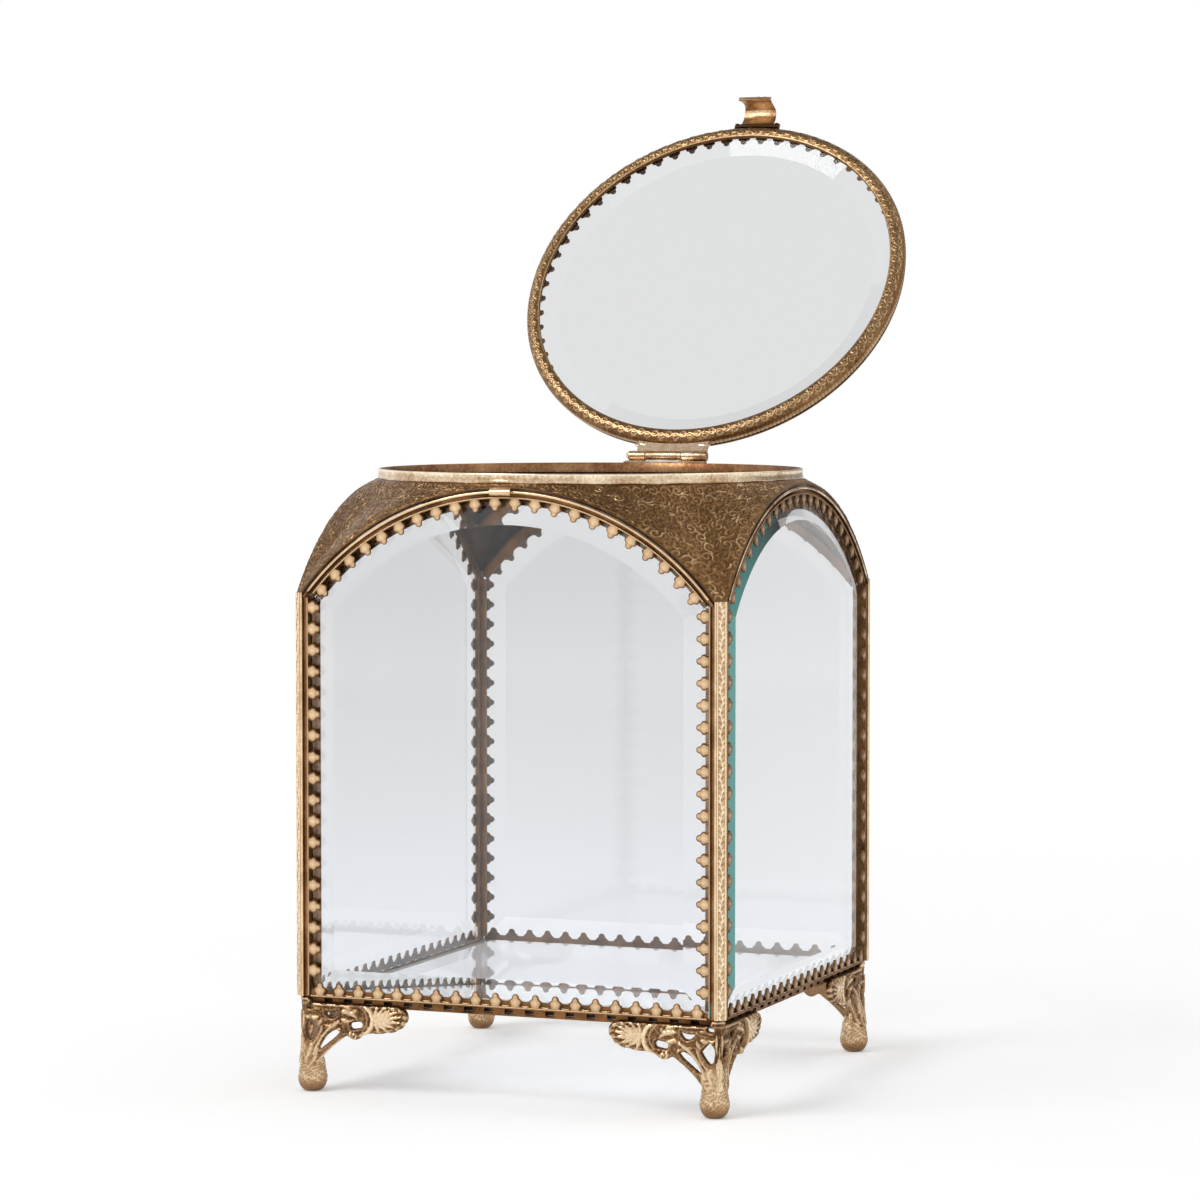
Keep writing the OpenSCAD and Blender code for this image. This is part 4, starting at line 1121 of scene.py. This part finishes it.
class CASKET_OT_feet(bpy.types.Operator):
    """Makes the four cast feet: pierced wings with scrolls and palmettes, and knob toes"""

    bl_idname = "casket.feet"
    bl_label = "Feet"

    def execute(self, context):
        height = context.scene.casket_relief.foot / MM
        flat, gap, cells, edges = foot_sheet()
        u, z = np.abs(flat[:, 0]), flat[:, 1]
        strands = ridge_height(np.stack([u, z], -1), foot_strands())
        lip = 0.55 * half_round(gap - 0.42, 0.3)
        lip = lip * (0.75 + 0.25 * np.sin(2 * np.pi * (u + z) / 1.1))
        ornament = np.maximum(strands, lip * smooth((z - 7) / 2))
        ornament = np.maximum(ornament, 0.5 * veins(flat[:, 0], z, 5, 1.5))
        leg = smooth((12.2 - z) / 2.2) * smooth((5.2 - u) / 1.2)
        ornament = np.maximum(ornament, leg * (0.6 + 0.25 * mottle(flat[:, 0], z, 8, 1.7)))
        ornament = np.clip(ornament - 0.2 * veins(flat[:, 0], z, 6, 1.2), 0, 1)
        rounding = np.sqrt(1 - (1 - np.clip(gap / 0.6, 0, 1)) ** 2)
        flare = 0.75 * smooth((10.5 - z) / 6) * smooth((6.5 - u) / 3)
        ease = smooth((z - 5) / 3)
        tuck = 1.1 * smooth((6.4 - z) / 1.5)
        front = (0.4 * (1 - rounding) - height * ornament * rounding * (0.5 + 0.5 * ease) - flare
                 + tuck)
        back = 1.25 - 0.2 * (1 - rounding) + 0.2 * flare + tuck
        count = len(flat)
        walls = np.stack([edges[:, 0], edges[:, 1], edges[:, 1] + count, edges[:, 0] + count], -1)
        quads = np.concatenate([cells, cells[:, ::-1] + count, walls])
        relief = np.concatenate([0.04 + 0.96 * ornament ** 1.25, np.full(count, 0.3)])
        toe = resampled(TOE_PROFILE, 70)[0]
        rise = toe[None, :, 1]
        a = round_angles(120)
        carved = veins(a[:, None] * 3, rise * 1.2, 9, 1.7) * smooth((rise - 1.4) / 1.4)
        profiles = np.repeat(toe[None], len(a), 0)
        profiles[..., 0] += 0.14 * carved
        knob = revolved(profiles) + np.array([TOE_INSET - HALF, TOE_INSET - HALF, 0])
        toe_relief = 0.26 + 0.24 * smooth((rise - 0.8) / 3) + 0.4 * carved
        points = np.concatenate([foot_place(flat, front), foot_place(flat, back)])
        for k, corner in enumerate(CORNERS):
            finished("foot_bracket_" + corner, turned(points, k), quads, relief, "cast",
                     "cast_brass", replaces=("foot_" + corner,), crease=55)
            Heap().grid(turned(knob, k), toe_relief, wrap_n=True).finish(
                "foot_toe_" + corner, "cast", "cast_brass")
        return {"FINISHED"}


# Hinge and catch -----------------------------------------------------------------------------

def drop(centre, size, seed):
    """An uneven drop of solder: a sphere of latitude and longitude, swollen by seeded waves."""
    a = np.linspace(0.02, np.pi - 0.02, 14)[:, None]
    b = round_angles(24)[None]
    ball = np.stack([np.sin(a) * np.cos(b), np.sin(a) * np.sin(b), np.cos(a) + 0 * b], -1)
    swell = 1 + 0.12 * mottle(ball[..., 0] * 3, ball[..., 1] * 3 + ball[..., 2] * 2, seed, 3)
    return np.array(centre) + ball * swell[..., None] * np.array(size)


class CASKET_OT_hinge(bpy.types.Operator):
    """Finishes the hinge and adds the solder that holds its leaves"""

    bl_idname = "casket.hinge"
    bl_label = "Hinge"

    def execute(self, context):
        dress("hinge", "hinge_base", "lid_hinge_leaf")
        dress("polished", "hinge_pin")
        heap = Heap()
        for n, (x, size) in enumerate(((-7.6, (2.0, 0.8, 0.5)), (-4.2, (2.3, 0.6, 0.34)),
                                       (-0.4, (2.4, 0.6, 0.3)), (3.6, (2.3, 0.6, 0.36)),
                                       (7.4, (2.0, 0.8, 0.52)))):
            heap.grid(opened(drop((x, 47.5, 137.55), size, n)), wrap_m=True, flip=True)
        heap.finish("lid_solder", "solder", "plain_brass", body="lid")
        heap = Heap()
        for n, x in enumerate((-9.5, -4.2, 2.6, 8.7)):
            heap.grid(drop((x, 47.9, 134.1), (1.3, 0.5, 0.45), n + 5), wrap_m=True, flip=True)
        heap.finish("hinge_solder", "solder", "plain_brass")
        return {"FINISHED"}


class CASKET_OT_catch(bpy.types.Operator):
    """Makes the springy catch strap with its flared lip, and finishes its plate and bar"""

    bl_idname = "casket.catch"
    bl_label = "Catch"

    def execute(self, context):
        dress("rim", "catch_plate")
        dress("polished", "catch_bar")
        start, top = (0.28, 0.0), (STRAP_NECK + STRAP_SWELL, -0.1)
        low = (STRAP_NECK, -5.15)
        line = np.concatenate([bowed(start, top, 0.7, 12), bowed(top, low, 0.6, 14)[1:],
                               bowed(low, (STRAP_NECK + 1.0, -4.8), -0.12, 5)[1:]])
        line, gone = resampled(line, 64)
        along = unit(np.gradient(line, axis=0))
        side = np.stack([-along[:, 1], along[:, 0]], -1)
        across = np.linspace(-1, 1, 25)
        share = gone / gone[-1]
        # The strap narrows a little over its swell and spreads again at the ragged lip.
        width = 4.1 - 0.5 * np.exp(-((share - 0.62) / 0.2) ** 2)
        ragged = 0.18 * mottle(across * 4, 0 * across + 2, 21, 1.6) * (across > 0.1)
        skew = np.clip((share - 0.93) / 0.07, 0, 1)[:, None] * ragged[None]
        camber = 0.06 * (1 - across[None] ** 2) * np.sin(np.pi * share)[:, None]
        skins = []
        for half in (STRAP_T / 2, -STRAP_T / 2):
            place = line + side * half
            skins.append(spots(CATCH_X + width[:, None] * across[None],
                               -PLATE_FRONT - (place[:, :1] + skew) - camber,
                               137.0 + place[:, 1:]))
        loop = np.concatenate([skins[0], skins[1][:, ::-1]], 1)
        rows, round_it = loop.shape[:2]
        j = np.arange(len(across) - 1)
        end = np.stack([j, j + 1, round_it - 2 - j, round_it - 1 - j], -1)
        quads = np.concatenate([grid_faces(rows, round_it, wrap_m=True), end[:, ::-1],
                                end + (rows - 1) * round_it])
        Heap().add(opened(loop), quads).finish("catch_strap_sheet", "strap", "polished_brass",
                                               body="catch", replaces=("catch_strap",), crease=50)
        return {"FINISHED"}


class CASKET_OT_stage(bpy.types.Operator):
    """Makes the floor, the lights, the world and the camera"""

    bl_idname = "casket.stage"
    bl_label = "Stage"

    def execute(self, context):
        scene = context.scene
        props = scene.casket_camera
        camera_data = bpy.data.cameras.new("camera")
        camera_data.lens = props.lens
        camera_data.sensor_width = 36
        camera_data.clip_start = 0.01
        camera = bpy.data.objects.new("camera", camera_data)
        camera.location = (props.place[0], props.place[1] + BODY_Y, props.place[2])
        camera.rotation_euler = (math.pi / 2 - props.tilt, 0, props.turn)
        scene.collection.objects.link(camera)
        scene.camera = camera
        scene.view_settings.view_transform = "Standard"
        self.world(scene)
        self.lamps(scene)
        self.floor(scene)
        return {"FINISHED"}

    def world(self, scene):
        """Even white surroundings with a darker ceiling and a dark screen at the back right, which
        the brass mirrors. The background that the camera sees, also through the glass, is plain
        white."""
        world = scene.world or bpy.data.worlds.new("world")
        scene.world = world
        world.use_nodes = True
        tree = world.node_tree
        tree.nodes.clear()
        where = put(tree, "TexCoord").outputs["Generated"]
        up = put(tree, "SeparateXYZ", {"Vector": where}).outputs["Z"]
        screen = put(tree, "VectorMath", {0: where, 1: (0.37, 0.93, 0.0)},
                     operation="DOT_PRODUCT").outputs["Value"]
        ceiling = scaled(tree, up, 0.6, 0.92, 1.0, 0.35)
        standing = scaled(tree, up, 0.25, 0.5, 0.6, 0.0)
        dark = scaled(tree, screen, 0.5, 0.92, 0.0, 1.0)
        shiny = maths(tree, "SUBTRACT", ceiling, maths(tree, "MULTIPLY", standing, dark),
                      clamp=True)
        light = put(tree, "Mix", {0: one_of(tree, "Is Glossy Ray"), 2: 0.62, 3: shiny})
        seen = one_of(tree, "Is Camera Ray", "Is Transmission Ray")
        level = put(tree, "Mix", {0: seen, 2: light.outputs[0], 3: 1.0})
        back = put(tree, "Background", {"Color": (1, 1, 1, 1), "Strength": level.outputs[0]})
        put(tree, "OutputWorld", {"Surface": back.outputs["Background"]})

    def lamps(self, scene):
        """Two large soft lamps, high at the front left and high at the back right."""
        for name, place, size, power in (("key", (-0.7, -0.9, 1.15), 0.7, 9.0),
                                         ("fill", (0.75, 0.35, 1.2), 0.8, 1.6)):
            lamp = bpy.data.lights.new(name, "AREA")
            lamp.size = size
            lamp.energy = power
            made = bpy.data.objects.new(name, lamp)
            made.location = (place[0], place[1] + BODY_Y, place[2])
            aim = np.array([0, 0, 0.08]) - np.array(place)
            across = math.hypot(aim[0], aim[1])
            made.rotation_euler = (math.atan2(across, -aim[2]), 0, math.atan2(-aim[0], aim[1]))
            scene.collection.objects.link(made)

    def floor(self, scene):
        """A plain white table top that keeps the casket's shadow."""
        mesh = bpy.data.meshes.new("floor")
        mesh.from_pydata([(-3, -3, 0), (3, -3, 0), (3, 3, 0), (-3, 3, 0)], [], [(0, 1, 2, 3)])
        material, tree = new_tree("white_table")
        matt = put(tree, "BsdfDiffuse", {"Color": (0.9, 0.9, 0.9, 1)})
        seen = one_of(tree, "Is Camera Ray", "Is Transmission Ray", "Is Glossy Ray")
        # The table is lit less away from the lamps, and its own white makes up for that.
        place = put(tree, "TexCoord").outputs["Object"]
        away = put(tree, "VectorMath", {0: place}, operation="LENGTH").outputs["Value"]
        gain = scaled(tree, away, 0.2, 1.2, 0.2, 0.46)
        glow = put(tree, "Emission", {"Strength": maths(tree, "MULTIPLY", seen, gain)})
        both = put(tree, "AddShader", {0: matt.outputs[0], 1: glow.outputs[0]})
        put(tree, "OutputMaterial", {"Surface": both.outputs[0]})
        mesh.materials.append(material)
        floor = bpy.data.objects.new("floor", mesh)
        scene.collection.objects.link(floor)


# The add-on ----------------------------------------------------------------------------------

STEPS = ("stage", "glass", "strips", "sills", "arches", "posts", "spandrels", "collar", "lid",
         "feet", "hinge", "catch")


class CASKET_PT_panel(bpy.types.Panel):
    """Lists the casket's sizes, colours and pieces."""

    bl_label = "Casket"
    bl_idname = "CASKET_PT_panel"
    bl_space_type = "VIEW_3D"
    bl_region_type = "UI"
    bl_category = "Casket"

    def draw(self, context):
        for group in (context.scene.casket_tones, context.scene.casket_relief,
                      context.scene.casket_camera):
            for key in group.__annotations__:
                self.layout.prop(group, key)
        for step in STEPS:
            self.layout.operator("casket." + step)


CLASSES = (CasketTones, CasketRelief, CasketCamera, CASKET_OT_stage, CASKET_OT_glass,
           CASKET_OT_strips, CASKET_OT_sills, CASKET_OT_arches, CASKET_OT_posts,
           CASKET_OT_spandrels, CASKET_OT_collar, CASKET_OT_lid, CASKET_OT_feet, CASKET_OT_hinge,
           CASKET_OT_catch, CASKET_PT_panel)


def register():
    """Makes the panel, the operators and their settings known."""
    for cls in CLASSES:
        bpy.utils.register_class(cls)
    bpy.types.Scene.casket_tones = PointerProperty(type=CasketTones)
    bpy.types.Scene.casket_relief = PointerProperty(type=CasketRelief)
    bpy.types.Scene.casket_camera = PointerProperty(type=CasketCamera)


def unregister():
    """Takes them away again."""
    del bpy.types.Scene.casket_camera
    del bpy.types.Scene.casket_relief
    del bpy.types.Scene.casket_tones
    for cls in reversed(CLASSES):
        bpy.utils.unregister_class(cls)


def main():
    """Builds every piece."""
    register()
    for step in STEPS:
        getattr(bpy.ops.casket, step)()


if __name__ == "__main__":
    main()
